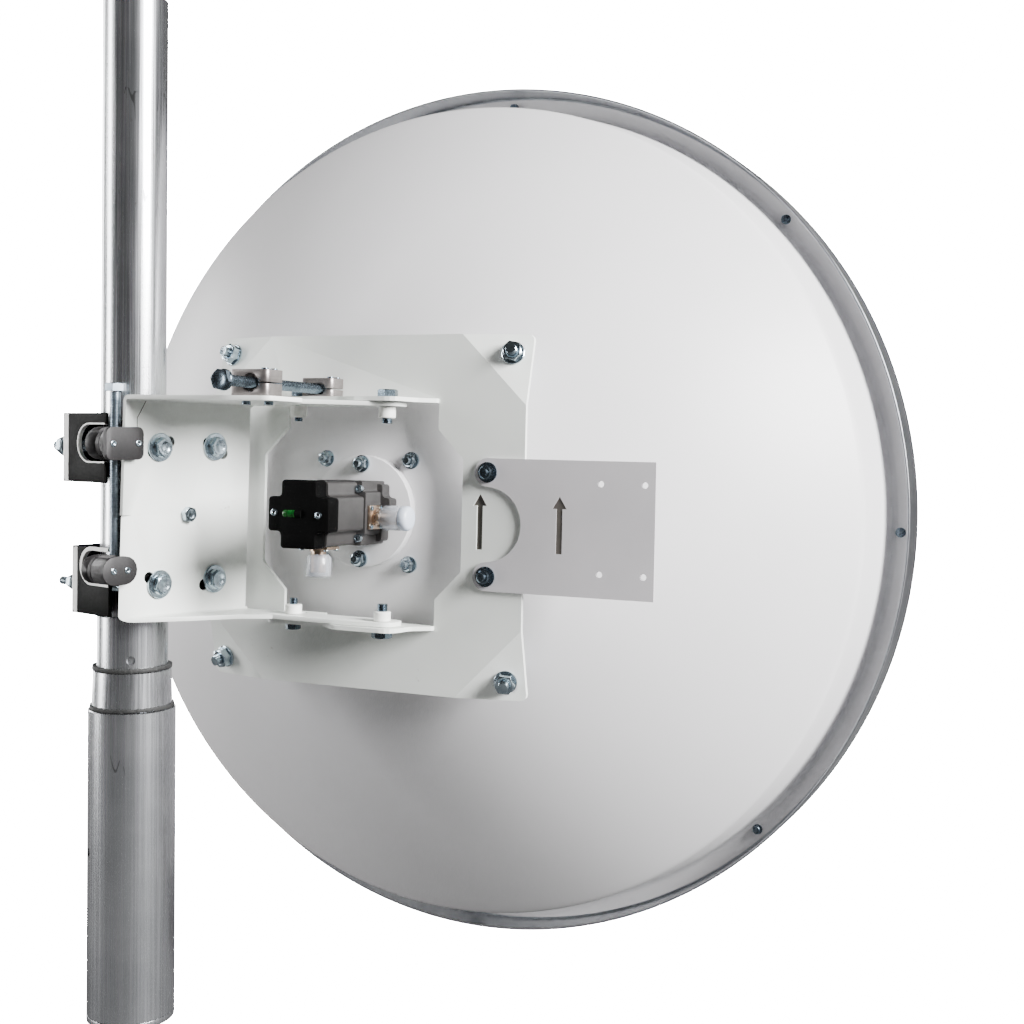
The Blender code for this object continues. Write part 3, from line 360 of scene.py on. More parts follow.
def hexHead(bm, place, across, low, high, steps=48):   # hexagon with a turned chamfer on top
    flat = across / 2
    walls = [flat / cos((2 * pi * i / steps + pi / 6) % (pi / 3) - pi / 6) for i in range(steps)]
    rim, shelf, well = (hexShape[key] * flat for key in ("rim", "shelf", "well"))
    floor = high - hexShape["deep"]

    def outline(radii, heights):
        return ringOf(bm, place, [polar(r, 2 * pi * i / steps, h)
                                  for i, (r, h) in enumerate(zip(radii, heights))])
    rings = [outline([w - hexShape["under"] for w in walls], [low] * steps),
             outline(walls, [low + hexShape["foot"]] * steps),
             outline(walls, [high - max(w - rim, 0) * hexShape["fall"] for w in walls]),
             outline([rim] * steps, [high] * steps),
             outline([shelf] * steps, [high] * steps),
             outline([well] * steps, [floor] * steps),
             ringOf(bm, place, [(0, 0, floor)])]
    joinAll(bm, rings)
    bm.faces.new(rings[0])


def thread(bm, place, radius, low, high, pitch=1.5, steps=20):   # a screw thread as one closed skin
    root = radius - 0.32 * pitch
    rows = int((high - low) / pitch + 3) * 4
    verts = []
    for i in range(steps):
        column = []
        for j in range(rows + 1):
            height = low - pitch + (j / 4 + i / steps) * pitch
            crest = j % 4 in (0, 1) and low < height < high
            column.append(polar(radius if crest else root, 2 * pi * i / steps,
                                min(max(height, low), high)))
        verts.append(ringOf(bm, place, column))
    for i in range(steps):
        shift = 4 if i == steps - 1 else 0
        other = verts[(i + 1) % steps]
        for j in range(rows - shift):
            bm.faces.new([verts[i][j], other[j + shift], other[j + 1 + shift], verts[i][j + 1]])
    bmesh.ops.remove_doubles(bm, verts=[v for column in verts for v in column], dist=0.000005)
    bmesh.ops.holes_fill(bm, edges=[edge for edge in bm.edges if edge.is_boundary], sides=0)


def prism(bm, place, outline, low, high):
    joinAll(bm, [ringOf(bm, place, [(x, y, z) for x, y in outline]) for z in (low, high)], capped=True)


def roundedBox(bm, place, size, radius=0.6):   # size: (x0, x1, y0, y1, z0, z1)
    x0, x1, y0, y1, z0, z1 = size
    made = bmesh.ops.create_cube(bm, size=1.0)["verts"]
    for vert in made:
        x, y, z = vert.co
        vert.co = Vector((x0 if x < 0 else x1, y0 if y < 0 else y1, z0 if z < 0 else z1))
    edges = list(dict.fromkeys(edge for vert in made for edge in vert.link_edges))
    result = bmesh.ops.bevel(bm, geom=edges, offset=radius, segments=2, profile=0.5, affect="EDGES")
    verts = {v for face in result["faces"] for v in face.verts} | {v for v in made if v.is_valid}
    bmesh.ops.transform(bm, matrix=place, verts=list(verts))


def finishedMesh(name, bm):
    bmesh.ops.recalc_face_normals(bm, faces=bm.faces)
    mesh = bpy.data.meshes.new(name)
    bm.to_mesh(mesh)
    bm.free()
    return mesh


def showMesh(name, mesh, material, body, angle=30):   # a finished mesh becomes a piece on its body
    if material is not None:
        mesh.materials.clear()
        mesh.materials.append(finish[material])
    mesh.shade_smooth()
    mesh.set_sharp_from_angle(angle=radians(angle))
    piece = inScene(name, mesh)
    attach(piece, body)
    return piece


def show(name, bm, material, body, angle=30):
    return showMesh(name, finishedMesh(name, bm), material, body, angle)


def evaluated(holder):   # the plain mesh that an object's modifiers make, without the object
    graph = bpy.context.evaluated_depsgraph_get()
    mesh = bpy.data.meshes.new_from_object(holder.evaluated_get(graph))
    bpy.data.objects.remove(holder, do_unlink=True)
    return mesh


def drilled(name, mesh, cutters):   # the mesh with these closed bmesh solids taken out
    holder = inScene(name + "Blank", mesh)
    tools = []
    for i, cutter in enumerate(cutters):
        label = f"{name}Cutter{i + 1}"
        tool = inScene(label, finishedMesh(label, cutter))
        modifier = holder.modifiers.new("drill", "BOOLEAN")
        modifier.solver = "EXACT"
        modifier.object = tool
        tools.append(tool)
    bpy.context.view_layer.update()
    result = evaluated(holder)
    for tool in tools:
        bpy.data.objects.remove(tool, do_unlink=True)
    return result


def merged(node, width, angle=35):   # a copy of a CAD node's mesh, merged and with eased edges
    mesh = frame["nodes"][node].data.copy()
    bm = bmesh.new()
    bm.from_mesh(mesh)
    bmesh.ops.remove_doubles(bm, verts=bm.verts, dist=0.00002)
    bmesh.ops.dissolve_limit(bm, angle_limit=radians(0.5), verts=bm.verts, edges=bm.edges)
    if width:
        edges = [e for e in bm.edges if len(e.link_faces) == 2 and e.calc_face_angle(0) > radians(angle)]
        bmesh.ops.bevel(bm, geom=edges, offset=width * mm, segments=2, profile=0.5, affect="EDGES",
                        clamp_overlap=True)
    bmesh.ops.triangulate(bm, faces=[f for f in bm.faces if len(f.verts) > 4])
    bm.to_mesh(mesh)
    bm.free()
    return mesh


# Stands for a CAD node, with its edges eased
def softened(node, material, width=0.4, cutters=(), crease=30):
    name = camel(node)
    mesh = merged(node, width)
    if cutters:
        mesh = drilled(name, mesh, cutters)
    piece = showMesh(name, mesh, material, bodyOf[node], crease)
    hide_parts(node)
    return piece


# A second finish where test(centre, normal) holds, in the frame's millimetres
def paintFaces(piece, material, inFrame, test):
    piece.data.materials.append(finish[material])
    back = inFrame.inverted()
    turn = back.to_3x3()
    for face in piece.data.polygons:
        if test((back @ face.center) / mm, (turn @ face.normal).normalized()):
            face.material_index = len(piece.data.materials) - 1


def camel(node):
    words = node.split("_")
    return words[0] + "".join(word.capitalize() for word in words[1:])


def stadium(x, length, width, steps=10):
    reach = (length - width) / 2
    ends = [(x + reach, -90), (x - reach, 90)]
    return [(cx + width / 2 * cos(radians(first + 180 * i / steps)),
             width / 2 * sin(radians(first + 180 * i / steps)))
            for cx, first in ends for i in range(steps + 1)]


bodyOf = {node: body for body, nodes in frame["record"]["behaviour"]["bodies"].items() for node in nodes}


# Geometry Nodes helpers

def endTree(tree, result, geometry, material):
    real = addNode(tree, "GeometryNodeRealizeInstances", [("Geometry", geometry)])
    dressed = addNode(tree, "GeometryNodeSetMaterial", [
        ("Geometry", real.outputs[0]), ("Material", material)])
    tree.links.new(dressed.outputs[0], result["Geometry"])
    return tree


def grown(name, mesh, tree, values, more=()):   # the plain mesh that a tree, then other modifiers, make
    holder = inScene(name + "Seed", mesh)
    modifier = holder.modifiers.new("shape", "NODES")
    modifier.node_group = tree
    for item in tree.interface.items_tree:
        if item.item_type == "SOCKET" and item.in_out == "INPUT" and item.name in values:
            modifier[item.identifier] = values[item.name]
    for kind, settings in more:
        extra = holder.modifiers.new(kind.lower(), kind)
        for key, value in settings.items():
            setattr(extra, key, value)
    bpy.context.view_layer.update()
    return evaluated(holder)


def raised(tree, shape, height):
    place = addNode(tree, "ShaderNodeCombineXYZ", [("Z", height)])
    moved = addNode(tree, "GeometryNodeTransform", [
        ("Geometry", shape), ("Translation", place.outputs[0])])
    return moved.outputs[0]


def upright(tree, sides, radius, low, depth):
    shape = addNode(tree, "GeometryNodeMeshCylinder", [
        ("Vertices", sides), ("Radius", radius), ("Depth", depth)])
    middle = calculate(tree, "ADD", calculate(tree, "MULTIPLY", depth, 0.5), low)
    return raised(tree, shape.outputs["Mesh"], middle)


def onPoints(tree, given, result, screw):   # the screw on each point, turned at random about its axis
    turns = addNode(tree, "FunctionNodeRandomValue", [
        ("Seed", given["Seed"]), ("Max", (0, 0, 2 * pi)), ("Min", (0, 0, 0))], data_type="FLOAT_VECTOR")
    placed = addNode(tree, "GeometryNodeInstanceOnPoints", [
        ("Points", given["Geometry"]), ("Instance", screw), ("Rotation", turns.outputs["Value"])])
    return endTree(tree, result, placed.outputs[0], given["Finish"])


# Two kinds of screw on given points: a hexagon with washer and stud, and a round head with a socket

# Shares of the head's height, of its width twice, and of the stud's radius
headShares = {"flats": 0.84, "widest": 0.5, "top": 0.4, "taper": 0.82}


def screwTree():
    tree, given, result = startShape("screwsOnPoints", {
        "Across": 0.012, "Head Height": 0.006, "Washer Radius": 0.008, "Washer Height": 0.0016,
        "Stud Radius": 0.004, "Stud Height": 0.004, "Seed": 4, "Finish": None})
    across, head, washer = given["Across"], given["Head Height"], given["Washer Height"]

    def share(value, part):
        return calculate(tree, "MULTIPLY", value, part)

    flats = share(head, headShares["flats"])
    crown = addNode(tree, "GeometryNodeMeshCone", [
        ("Vertices", 28), ("Radius Bottom", share(across, headShares["widest"])),
        ("Radius Top", share(across, headShares["top"])), ("Depth", share(head, 1 - headShares["flats"]))])
    stud = addNode(tree, "GeometryNodeMeshCone", [
        ("Vertices", 20), ("Radius Bottom", given["Stud Radius"]),
        ("Radius Top", share(given["Stud Radius"], headShares["taper"])), ("Depth", given["Stud Height"])])
    corner = calculate(tree, "DIVIDE", across, sqrt(3))
    screw = addNode(tree, "GeometryNodeJoinGeometry")
    for shape in (upright(tree, 28, given["Washer Radius"], 0.0, washer),
                  upright(tree, 6, corner, washer, flats),
                  raised(tree, crown.outputs["Mesh"], calculate(tree, "ADD", washer, flats)),
                  raised(tree, stud.outputs["Mesh"], calculate(tree, "ADD", washer, head))):
        tree.links.new(shape, screw.inputs[0])
    return onPoints(tree, given, result, screw.outputs[0])


def socketTree():
    tree, given, result = startShape("socketScrewsOnPoints", {
        "Head Radius": 0.003, "Head Height": 0.001, "Socket Across": 0.003, "Socket Depth": 0.0008,
        "Seed": 2, "Finish": None})
    corner = calculate(tree, "DIVIDE", given["Socket Across"], sqrt(3))
    floor = calculate(tree, "SUBTRACT", given["Head Height"], given["Socket Depth"])
    screw = addNode(tree, "GeometryNodeMeshBoolean", [
        ("Mesh 1", upright(tree, 24, given["Head Radius"], 0.0, given["Head Height"])),
        ("Mesh 2", upright(tree, 6, corner, floor, 0.01))], operation="DIFFERENCE")
    return onPoints(tree, given, result, screw.outputs[0])


screws = screwTree()
sockets = socketTree()


# Points in mm in the place's own axes, with the heads along its z
def setOnPoints(name, tree, place, points, sizes, look, more=()):
    mesh = bpy.data.meshes.new(name + "Points")
    mesh.from_pydata([Vector(p) * mm for p in points], [], [])
    values = {label: look[key] * mm for label, key in sizes.items()}
    values["Seed"] = look.get("seed", 2)
    values["Finish"] = finish[look.get("finish", "zincPlate")]
    made = grown(name, mesh, tree, values, more)
    made.transform(place @ Matrix.Scale(1 / mm, 4))
    return made


def setOfScrews(name, points, look, body):   # on the dish, with the heads to the rear
    sizes = {"Across": "across", "Head Height": "head", "Washer Radius": "washerRadius",
             "Washer Height": "washer", "Stud Radius": "stud", "Stud Height": "studHeight"}
    made = setOnPoints(name, screws, dishRear, points, sizes, look)
    return showMesh(name, made, None, body)


def setOfSockets(name, place, points, look, body):
    sizes = {"Head Radius": "radius", "Head Height": "height", "Socket Across": "socket",
             "Socket Depth": "depth"}
    ease = ("BEVEL", {"width": look["radius"] * 0.12 * mm, "segments": 2, "limit_method": "ANGLE",
                      "angle_limit": radians(50)})
    made = setOnPoints(name, sockets, place, points, sizes, look, [ease])
    return showMesh(name, made, None, body)


# Mast: four tubes, two rubber rings and a foot plug

mast = {"top": 971, "upper": 30.5, "middle": 33.3, "middleTop": 384, "collar": 36.6, "collarTop": 332,
        "lower": 41.0, "lowerTop": 295, "wall": 3.0, "tucked": 55, "steps": 96}


def tubePiece(node, radius, wall, low, high, cutters=(), taper=0.0):
    bm = bmesh.new()
    lathe(bm, at(world, (0, 0, 0)), [
        (radius + taper, low + 0.4), (radius, high - 0.5), (radius - 0.5, high), (radius - wall + 0.4, high),
        (radius - wall, high - 0.4), (radius - wall, low + 0.4), (radius - wall + 0.4, low),
        (radius + taper - 0.4, low)], mast["steps"], closed=True)
    mesh = finishedMesh(camel(node), bm)
    if cutters:
        mesh = drilled(camel(node), mesh, cutters)
    piece = showMesh(camel(node), mesh, "drawnTube", "mast")
    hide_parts(node)
    return piece


def drill(radius, height, turn):
    bm = bmesh.new()
    spot = Matrix.Rotation(radians(turn), 4, "Z")
    lathe(bm, at(spot, (0, 0, height), "rear"), [(radius, 20), (radius, 60)], 24)
    return bm


tubePiece("upper_mast_tube", mast["upper"], mast["wall"], mast["middleTop"] - mast["tucked"], mast["top"])
tubePiece("middle_mast_tube", mast["middle"], 2.5, mast["lowerTop"] - mast["tucked"], mast["middleTop"],
          [drill(4.2, 344, 36)])
tubePiece("mast_collar", mast["collar"], 3.0, mast["lowerTop"] + 0.3, mast["collarTop"], taper=1.0)
tubePiece("lower_mast_tube", mast["lower"], 4.9, 6.3, mast["lowerTop"], [drill(4.0, 161, -36)])
softened("mast_foot_plug", "drawnTube", 0.3)


def ragged(node, inner, outer, low, high, sag, seed):   # a rubber ring with an uneven, chipped edge
    bm = bmesh.new()
    steps = 240
    rings = []
    for radius, height, share in ((inner, low, 1.0), (outer - 0.3, low, 1.0), (outer, low + 0.6, 0.8),
                                  (outer, high - 0.6, 0.8), (outer - 0.3, high, 1.0), (inner, high, 1.0)):
        ring = []
        for i in range(steps):
            a = 2 * pi * i / steps
            edge = 1 if height > (low + high) / 2 else -1
            spot = Vector((cos(a) * 7, sin(a) * 7, seed + edge))
            rough = noise.noise(spot) * 0.9 + noise.noise(spot * 4) * 0.6
            grow = share * edge * (rough * 0.9 - 0.2)
            thick = radius + (0.35 * noise.noise(spot * 2) if radius > inner + 0.5 else 0)
            ring.append(polar(thick, a, height + grow + sag * sin(2 * a + seed)))
        rings.append(ringOf(bm, at(world, (0, 0, 0)), ring))
    joinAll(bm, rings, closed=True)
    piece = show(camel(node), bm, "sealRubber", "mast", 60)
    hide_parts(node)


ragged("upper_seal_ring", 33.6, 37.3, 332.3, 336.3, 0.4, 2.0)
ragged("lower_seal_ring", 37.9, 39.5, 295.3, 299.3, 0.4, 9.0)
print("mast built")


# Hex bolts and nuts

def fastener(node, place, look):
    bm = bmesh.new()
    washer = look.get("washer", 0)
    if washer:
        wide = look["washerRadius"]
        lathe(bm, place, [(wide - 0.4, 0), (wide, 0.4), (wide, washer - 0.4), (wide - 0.6, washer),
                          (look["across"] * 0.45, washer)], 40)
    if look.get("flange"):
        wide = look["flange"]
        lathe(bm, place, [(wide, washer), (wide, washer + 0.9), (look["across"] * 0.52, washer + 2.4)], 40)
    top = washer + look["head"]
    hexHead(bm, place, look["across"], washer, top)
    if look.get("tip"):
        thread(bm, place, look["shank"], top - 1.0, top + look["tip"])
    if look.get("thread"):
        thread(bm, place, look["shank"], -look["length"], look.get("threadTop", washer), 1.5, 24)
    else:
        lathe(bm, place, [(look["shank"] - 0.6, -look["length"]), (look["shank"], -look["length"] + 0.8),
                          (look["shank"], washer + 0.2)], 28)
    for radius, high, low in look.get("collars", ()):
        lathe(bm, place, [(radius - 0.3, low), (radius, low + 0.3), (radius, high - 0.3),
                          (radius - 0.3, high)], 32)
    piece = show(camel(node), bm, look.get("finish", "zincPlate"), bodyOf[node])
    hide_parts(node)
    return piece


# Each corner's side along x and up z, and how far its web bolt and its corner bolt are turned
corners = {"upper_near": (-1, 1, 8, 0), "upper_far": (1, 1, 22, 18),
           "lower_near": (-1, -1, -12, 40), "lower_far": (1, -1, 3, 25)}

web = {"middle": 27.0, "rear": -47.3, "boltX": 32.5, "boltZ": 64.0}   # the middle is along the web
webBolt = {"across": 16, "head": 6.6, "washer": 2.5, "washerRadius": 13.3, "shank": 5, "length": 12,
           "flange": 9.6}
for name, (sx, sz, spin, _) in corners.items():
    spot = (web["middle"] + sx * web["boltX"], web["rear"], sz * web["boltZ"])
    fastener(name + "_web_bolt", at(clampFrame, spot, "rear", spin), webBolt)
fastener("tilt_pivot_bolt", at(clampFrame, (web["middle"], web["rear"], 0), "rear", 14),
         {"across": 13, "head": 6, "shank": 4, "length": 13})

clampBolt = {"upper": {"base": 46.3, "x": 40.0, "z": 64.6, "across": 17, "shank": 5, "end": 65.0,
                       "ends": (21.0, 42.2)},
             "lower": {"base": 38.3, "x": 36.3, "z": -65.5, "across": 13, "shank": 4, "end": 62.0,
                       "ends": (42.2, 42.2)}}
for level, size in clampBolt.items():
    for side, reach, far in ((-1, "near", size["ends"][0]), (1, "far", size["ends"][1])):
        washer, nut = size["shank"] * 0.36, size["shank"] * 1.6
        look = {"across": size["across"], "head": nut, "washer": washer,
                "washerRadius": size["across"] * 0.6, "shank": size["shank"],
                "length": size["base"] + far, "thread": True,
                "tip": size["end"] - size["base"] - nut - washer}
        spot = at(clampFrame, (side * size["x"], size["base"], size["z"]), "front", 9)
        fastener(f"{level}_{reach}_clamp_bolt", spot, look)

# The corner bolts stand square to the plate's bent corners
bend = {"lean": radians(20), "sum": 276, "x": 155.0, "z": 152.0, "sheet": 4, "seated": 0.3}
lean, beyond = bend["lean"], (bend["x"] + bend["z"] - bend["sum"]) / sqrt(2)   # past the bend's line
cornerSeat = beyond * tan(lean) - (bend["sheet"] / cos(lean) - bend["sheet"]) / 2 - bend["seated"]
cornerBolt = {"across": 17, "head": 8, "washer": 2, "washerRadius": 11, "shank": 5, "length": 48,
              "tip": 6, "collars": [(8, -5.0, -48)]}
for name, (sx, sz, _, spin) in corners.items():
    axis = Vector((sx * sin(lean) / sqrt(2), -cos(lean), sz * sin(lean) / sqrt(2)))
    seat = Vector((sx * bend["x"], cornerSeat, sz * bend["z"])) * mm
    spot = (dishFrame @ Matrix.Translation(seat) @ axis.to_track_quat("Z", "Y").to_matrix().to_4x4()
            @ Matrix.Rotation(radians(spin), 4, "Z") @ Matrix.Scale(mm, 4))
    fastener(name + "_corner_bolt", spot, cornerBolt)

armBolt = {"pivot": {"x": 43.0, "y": -28.0, "across": 17, "shank": 5, "head": 7.0, "length": 25},
           "lock": {"x": -58.0, "y": -22.0, "across": 13, "shank": 4, "head": 6.0, "length": 24}}
for kind, size in armBolt.items():
    for level, side in (("upper", 1), ("lower", -1)):
        axis = "up" if side > 0 else "down"
        spot = at(dishFrame, (size["x"], size["y"], side * 109.3), axis, 12)
        fastener(f"{level}_{kind}_bolt", spot, {**size, "thread": True, "finish": "darkZinc"})
        high = -9.1
        low = high - (11.0 if side > 0 else 9.0)
        bm = bmesh.new()
        lathe(bm, spot, [(7.2, low), (8.0, low + 0.8), (8.0, high - 0.5), (7.6, high)], 40)
        show(f"{level}{kind.capitalize()}Bush", bm, "nylon", "antenna")

elevationScrew = {"across": 17, "head": 7.5, "shank": 5, "length": 166, "thread": True, "threadTop": -1.0,
                  "finish": "screwZinc"}
fastener("elevation_screw", at(clampFrame, (-43.0, -31.0, 116), "up", 10), elevationScrew)
azimuthScrew = {"across": 17, "head": 7.5, "washer": 1.5, "washerRadius": 9, "flange": 9.6, "shank": 5,
                "length": 168.5, "thread": True, "threadTop": -2.0, "finish": "darkZinc"}
fastener("azimuth_screw", at(dishFrame, (-34.0, -178.5, 116.6), "rear", 20), azimuthScrew)
print("bolts built")


# Clamp on the mast: jaws, plate and the blocks of the elevation screw

def ringPrism(place, outer, inner, low, high):
    bm = bmesh.new()
    rings = [ringOf(bm, place, [(x, y, z) for x, y in outline])
             for outline, z in ((outer, low), (outer, high), (inner, high), (inner, low))]
    joinAll(bm, rings, closed=True)
    return bm


jaws = {"upper_clamp_jaw": {"slot": 68.0, "slotHalf": 17.2, "half": 50.0, "bare": 1.4,
                            "low": 31.0, "high": 96.0, "base": 46.0},
        "lower_clamp_jaw": {"slot": -47.3, "slotHalf": 14.5, "half": 45.0, "bare": 3.6,
                            "low": -93.0, "high": -30.0, "base": 38.0}}
for node, size in jaws.items():
    piece = softened(node, "blackCoat", 0.5)

    def onSlot(centre, normal, size=size):
        near = abs(abs(centre.x) - size["half"] + 2) < 2.4 and centre.y < 17.6
        return near and abs(normal.x) < 0.8 and abs(centre.z - size["slot"]) < size["slotHalf"] + 0.6 and (
            abs(normal.z) > 0.1 or normal.y < -0.3)
    paintFaces(piece, "bareEdge", clampFrame, onSlot)

    # the jaw's rounded outer bend gets a light colour: a painted reflection of the bright backdrop
    def onBend(centre, normal, size=size):
        return centre.x < -size["half"] + 7.5 and normal.x < -0.12 and normal.y > 0.12
    paintFaces(piece, "paintedSheenAndBareRim", clampFrame, onBend)

    face, outer = at(clampFrame, (0, 0, 0), "left"), size["half"]   # drawn in (z, y) on the outer face
    # a thin light strip on the outer face over the bend: a painted reflection of the bright backdrop
    bm = bmesh.new()
    low, high = size["low"] + 0.5, size["high"] - 0.5
    near, far = size["base"] - 13.5, size["base"] - 6.4
    prism(bm, face, [(low, near), (high, near), (high, far - 3), (high - 3, far), (low + 3, far),
                     (low, far - 3)], outer - 0.6, outer + 0.25)
    show(camel(node) + "Strip", bm, "paintedSheenAndBareRim", "mast")
    # a light rim round the slot on the outer face: partly the bare cut edge's own colour, partly a painted
    # highlight that keeps it bright where it lies in shade
    bm = bmesh.new()
    half, wide, middle = size["slotHalf"], size["bare"], 17.0 - size["slotHalf"]
    bow = [(half * sin(radians(a)), middle + half * cos(radians(a))) for a in range(-90, 91, 10)]
    path = [(-half, -24.0)] + bow + [(half, -24.0)]
    rings = []
    for x, y in path:
        reach = Vector((x, max(y - middle, 0)))
        away = reach.normalized() * wide
        inner, rim = (size["slot"] + x, y), (size["slot"] + x + away.x, y + away.y)
        rings.append(ringOf(bm, face, [(*inner, outer - 0.6), (*inner, outer + 0.3),
                                       (*rim, outer + 0.3), (*rim, outer - 0.6)]))
    joinAll(bm, rings, capped=True)
    show(camel(node) + "SlotRim", bm, "paintedSheenAndBareRim", "mast")
softened("clamp_plate", "blackCoat", 0.5)

blocks = {"upper_adjuster_block": {"x": -51.0, "z": 68.0, "length": 40, "width": 30,
                                   "grooves": (-39.0, -45.0), "screws": (-63.7, -36.4)},
          "lower_adjuster_block": {"x": -55.6, "z": -47.3, "length": 37.6, "width": 26,
                                   "grooves": (-33.0, -38.0), "screws": (-62.6, -47.8)}}
groove = {"out": 4, "in": 1.4, "half": 0.45}   # past the block's outline, into it, and half its width
for node, size in blocks.items():
    back = at(clampFrame, (0, 0, size["z"]), "rear")
    wide, narrow = [stadium(size["x"], size["length"] + grow, size["width"] + grow)
                    for grow in (groove["out"], -groove["in"])]
    grooves = [ringPrism(back, wide, narrow, -y - groove["half"], -y + groove["half"])
               for y in size["grooves"]]
    softened(node, "darkBlock", 0.6, cutters=grooves)
    setOfSockets(camel(node) + "Screws", back, [(x, 0, 56.9) for x in size["screws"]],
                 {"radius": 3.0, "height": 1.0, "socket": 2.6, "depth": 0.9}, "mast")
print("clamp built")


# Mast bracket, with the seam where its bent corner meets the web

softened("mast_bracket", "whitePaint", 0.7)
seam = [(-20.3, 108.4), (-25.0, 100.5), (-30.7, 91.4), (-30.7, 77.0)]
bm = bmesh.new()
spot = at(clampFrame, (0, 0, 0), "rear")
rings = []
for i, (x, z) in enumerate(seam):
    back, ahead = Vector(seam[max(i - 1, 0)]), Vector(seam[min(i + 1, len(seam) - 1)])
    side = (ahead - back).normalized() * 0.28   # half the seam's width
    rings.append(ringOf(bm, spot, [(x - side.y, z + side.x, h) for h in (46.5, 47.4)]
                        + [(x + side.y, z - side.x, h) for h in (47.4, 46.5)]))
joinAll(bm, rings, capped=True)
show("webSeam", bm, "seamShade", "head")

softened("azimuth_block_rear", "machinedBlock", 0.5)
softened("azimuth_block_front", "machinedBlock", 0.5)
blockScrews = {
    "rearBlockScrews": {"axis": "down", "at": [(-47, 127, -100.4), (-23, 127, -100.4)], "radius": 4.2,
                        "height": 3.4, "socket": 3.4, "depth": 2.0, "body": "head"},
    "rearBlockTopScrews": {"axis": "up", "at": [(-23, -120.0, 128.4), (-23, -134.0, 128.4)],
                           "radius": 3.4, "height": 1.6, "socket": 3.0, "depth": 1.2, "body": "head"},
    "frontBlockTopScrews": {"axis": "up", "at": [(-22.6, -11.5, 126.9), (-22.6, -23.5, 126.9)],
                            "radius": 3.0, "height": 1.6, "socket": 2.6, "depth": 1.2,
                            "body": "antenna"}}
for name, look in blockScrews.items():
    setOfSockets(name, at(dishFrame, (0, 0, 0), look["axis"]), look["at"],
                 {**look, "finish": "darkZinc"}, look["body"])
print("bracket built")


# Reflector skin: a grid wound round the axis, its height set by the parabola, then the wall and flange

dish = {"Hub Radius": 36.0, "Crease Radius": 441.0, "Wall Foot": 452.5, "Flange Radius": 470.0,
        "Flange Height": 312.0, "Focal Twice": 465.0, "Vertex": 10.0}   # the tree's inputs, in mm
dishGrid = {"Around": 192, "Bowl Rows": 40}
dishSheet = {"thick": 3.0, "rolled": 5.0}
edgeRows = 3   # of the wall, and of the flange


def dishTree(inputs):
    tree, given, result = startShape("dishSkin", inputs)

    def calc(operation, a, b):
        return calculate(tree, operation, a, b)

    wallStart, wallEnd = given["Bowl Rows"], calc("ADD", given["Bowl Rows"], edgeRows)
    rows = calc("ADD", wallEnd, edgeRows)
    grid = addNode(tree, "GeometryNodeMeshGrid", [
        ("Size X", 1.0), ("Size Y", 1.0), ("Vertices X", calc("ADD", given["Around"], 1)),
        ("Vertices Y", calc("ADD", rows, 1))])
    place = addNode(tree, "GeometryNodeInputPosition").outputs[0]
    position = addNode(tree, "ShaderNodeSeparateXYZ", [(0, place)])
    angle = calc("MULTIPLY", calc("ADD", position.outputs["X"], 0.5), 2 * pi)
    row = calc("MULTIPLY", calc("ADD", position.outputs["Y"], 0.5), rows)
    crease, foot = given["Crease Radius"], given["Wall Foot"]
    bowl = spread(tree, row, 0.0, wallStart, given["Hub Radius"], crease)
    wall = spread(tree, row, wallStart, wallEnd, 0.0, calc("SUBTRACT", foot, crease))
    brim = spread(tree, row, wallEnd, rows, 0.0, calc("SUBTRACT", given["Flange Radius"], foot))
    radius = calc("ADD", calc("ADD", bowl, wall), brim)
    scale = calc("MULTIPLY", given["Focal Twice"], 2.0)

    def parabola(reach):
        return calc("ADD", calc("DIVIDE", calc("MULTIPLY", reach, reach), scale), given["Vertex"])

    rise = spread(tree, row, wallStart, wallEnd, 0.0,
                  calc("SUBTRACT", given["Flange Height"], parabola(crease)))
    spot = addNode(tree, "ShaderNodeCombineXYZ", [
        ("X", calc("MULTIPLY", radius, calc("COSINE", angle, 0.0))),
        ("Y", calc("MULTIPLY", radius, calc("SINE", angle, 0.0))),
        ("Z", calc("ADD", parabola(bowl), rise))])
    wound = addNode(tree, "GeometryNodeSetPosition", [
        ("Geometry", grid.outputs["Mesh"]), ("Position", spot.outputs[0])])
    sewn = addNode(tree, "GeometryNodeMergeByDistance", [
        ("Geometry", wound.outputs[0]), ("Distance", 0.00002)])
    return endTree(tree, result, sewn.outputs[0], given["Finish"])


dishInputs = {**{label: size * mm for label, size in dish.items()}, **dishGrid}
skinTree = dishTree({**dishInputs, "Finish": None})
skin = grown("reflector", bpy.data.meshes.new("dishBlank"), skinTree,
             {**dishInputs, "Finish": finish["dishPaint"]},
             [("BEVEL", {"width": dishSheet["rolled"] * mm, "segments": 4, "limit_method": "ANGLE",
                         "angle_limit": radians(20)})])
if sum(face.normal.z * face.area for face in skin.polygons) > 0:
    skin.flip_normals()
sheet = inScene("reflectorSheet", skin)
thick = sheet.modifiers.new("sheet", "SOLIDIFY")
thick.thickness = dishSheet["thick"] * mm
thick.offset = -1
bpy.context.view_layer.update()
reflectorMesh = evaluated(sheet)
reflectorMesh.transform(dishFrame @ Matrix.Rotation(radians(-90), 4, "X"))
reflector = showMesh("reflector", reflectorMesh, None, "antenna", 40)
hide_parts("reflector")

hoop = {"outer": 475.0, "inner": 472.5, "rear": 277.0, "front": 330.0, "lip": 456.5,
        "lipRear": 315.3, "lipFront": 317.8}
outer, inner, rear, front = hoop["outer"], hoop["inner"], hoop["rear"], hoop["front"]
bm = bmesh.new()
lathe(bm, at(dishFrame, (0, 0, 0), "front"), [
    (outer, front - 0.6), (outer, rear + 0.8), (outer - 0.6, rear), (inner + 0.5, rear),
    (inner, rear + 0.6), (inner, hoop["lipRear"]), (hoop["lip"], hoop["lipRear"]),
    (hoop["lip"], hoop["lipFront"]), (inner, hoop["lipFront"]), (inner, front - 0.5),
    (inner + 0.5, front), (outer - 0.6, front)], 240, closed=True)
rimHoop = show("rimHoop", bm, "hoopStrip", "antenna")
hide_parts("rim_hoop")

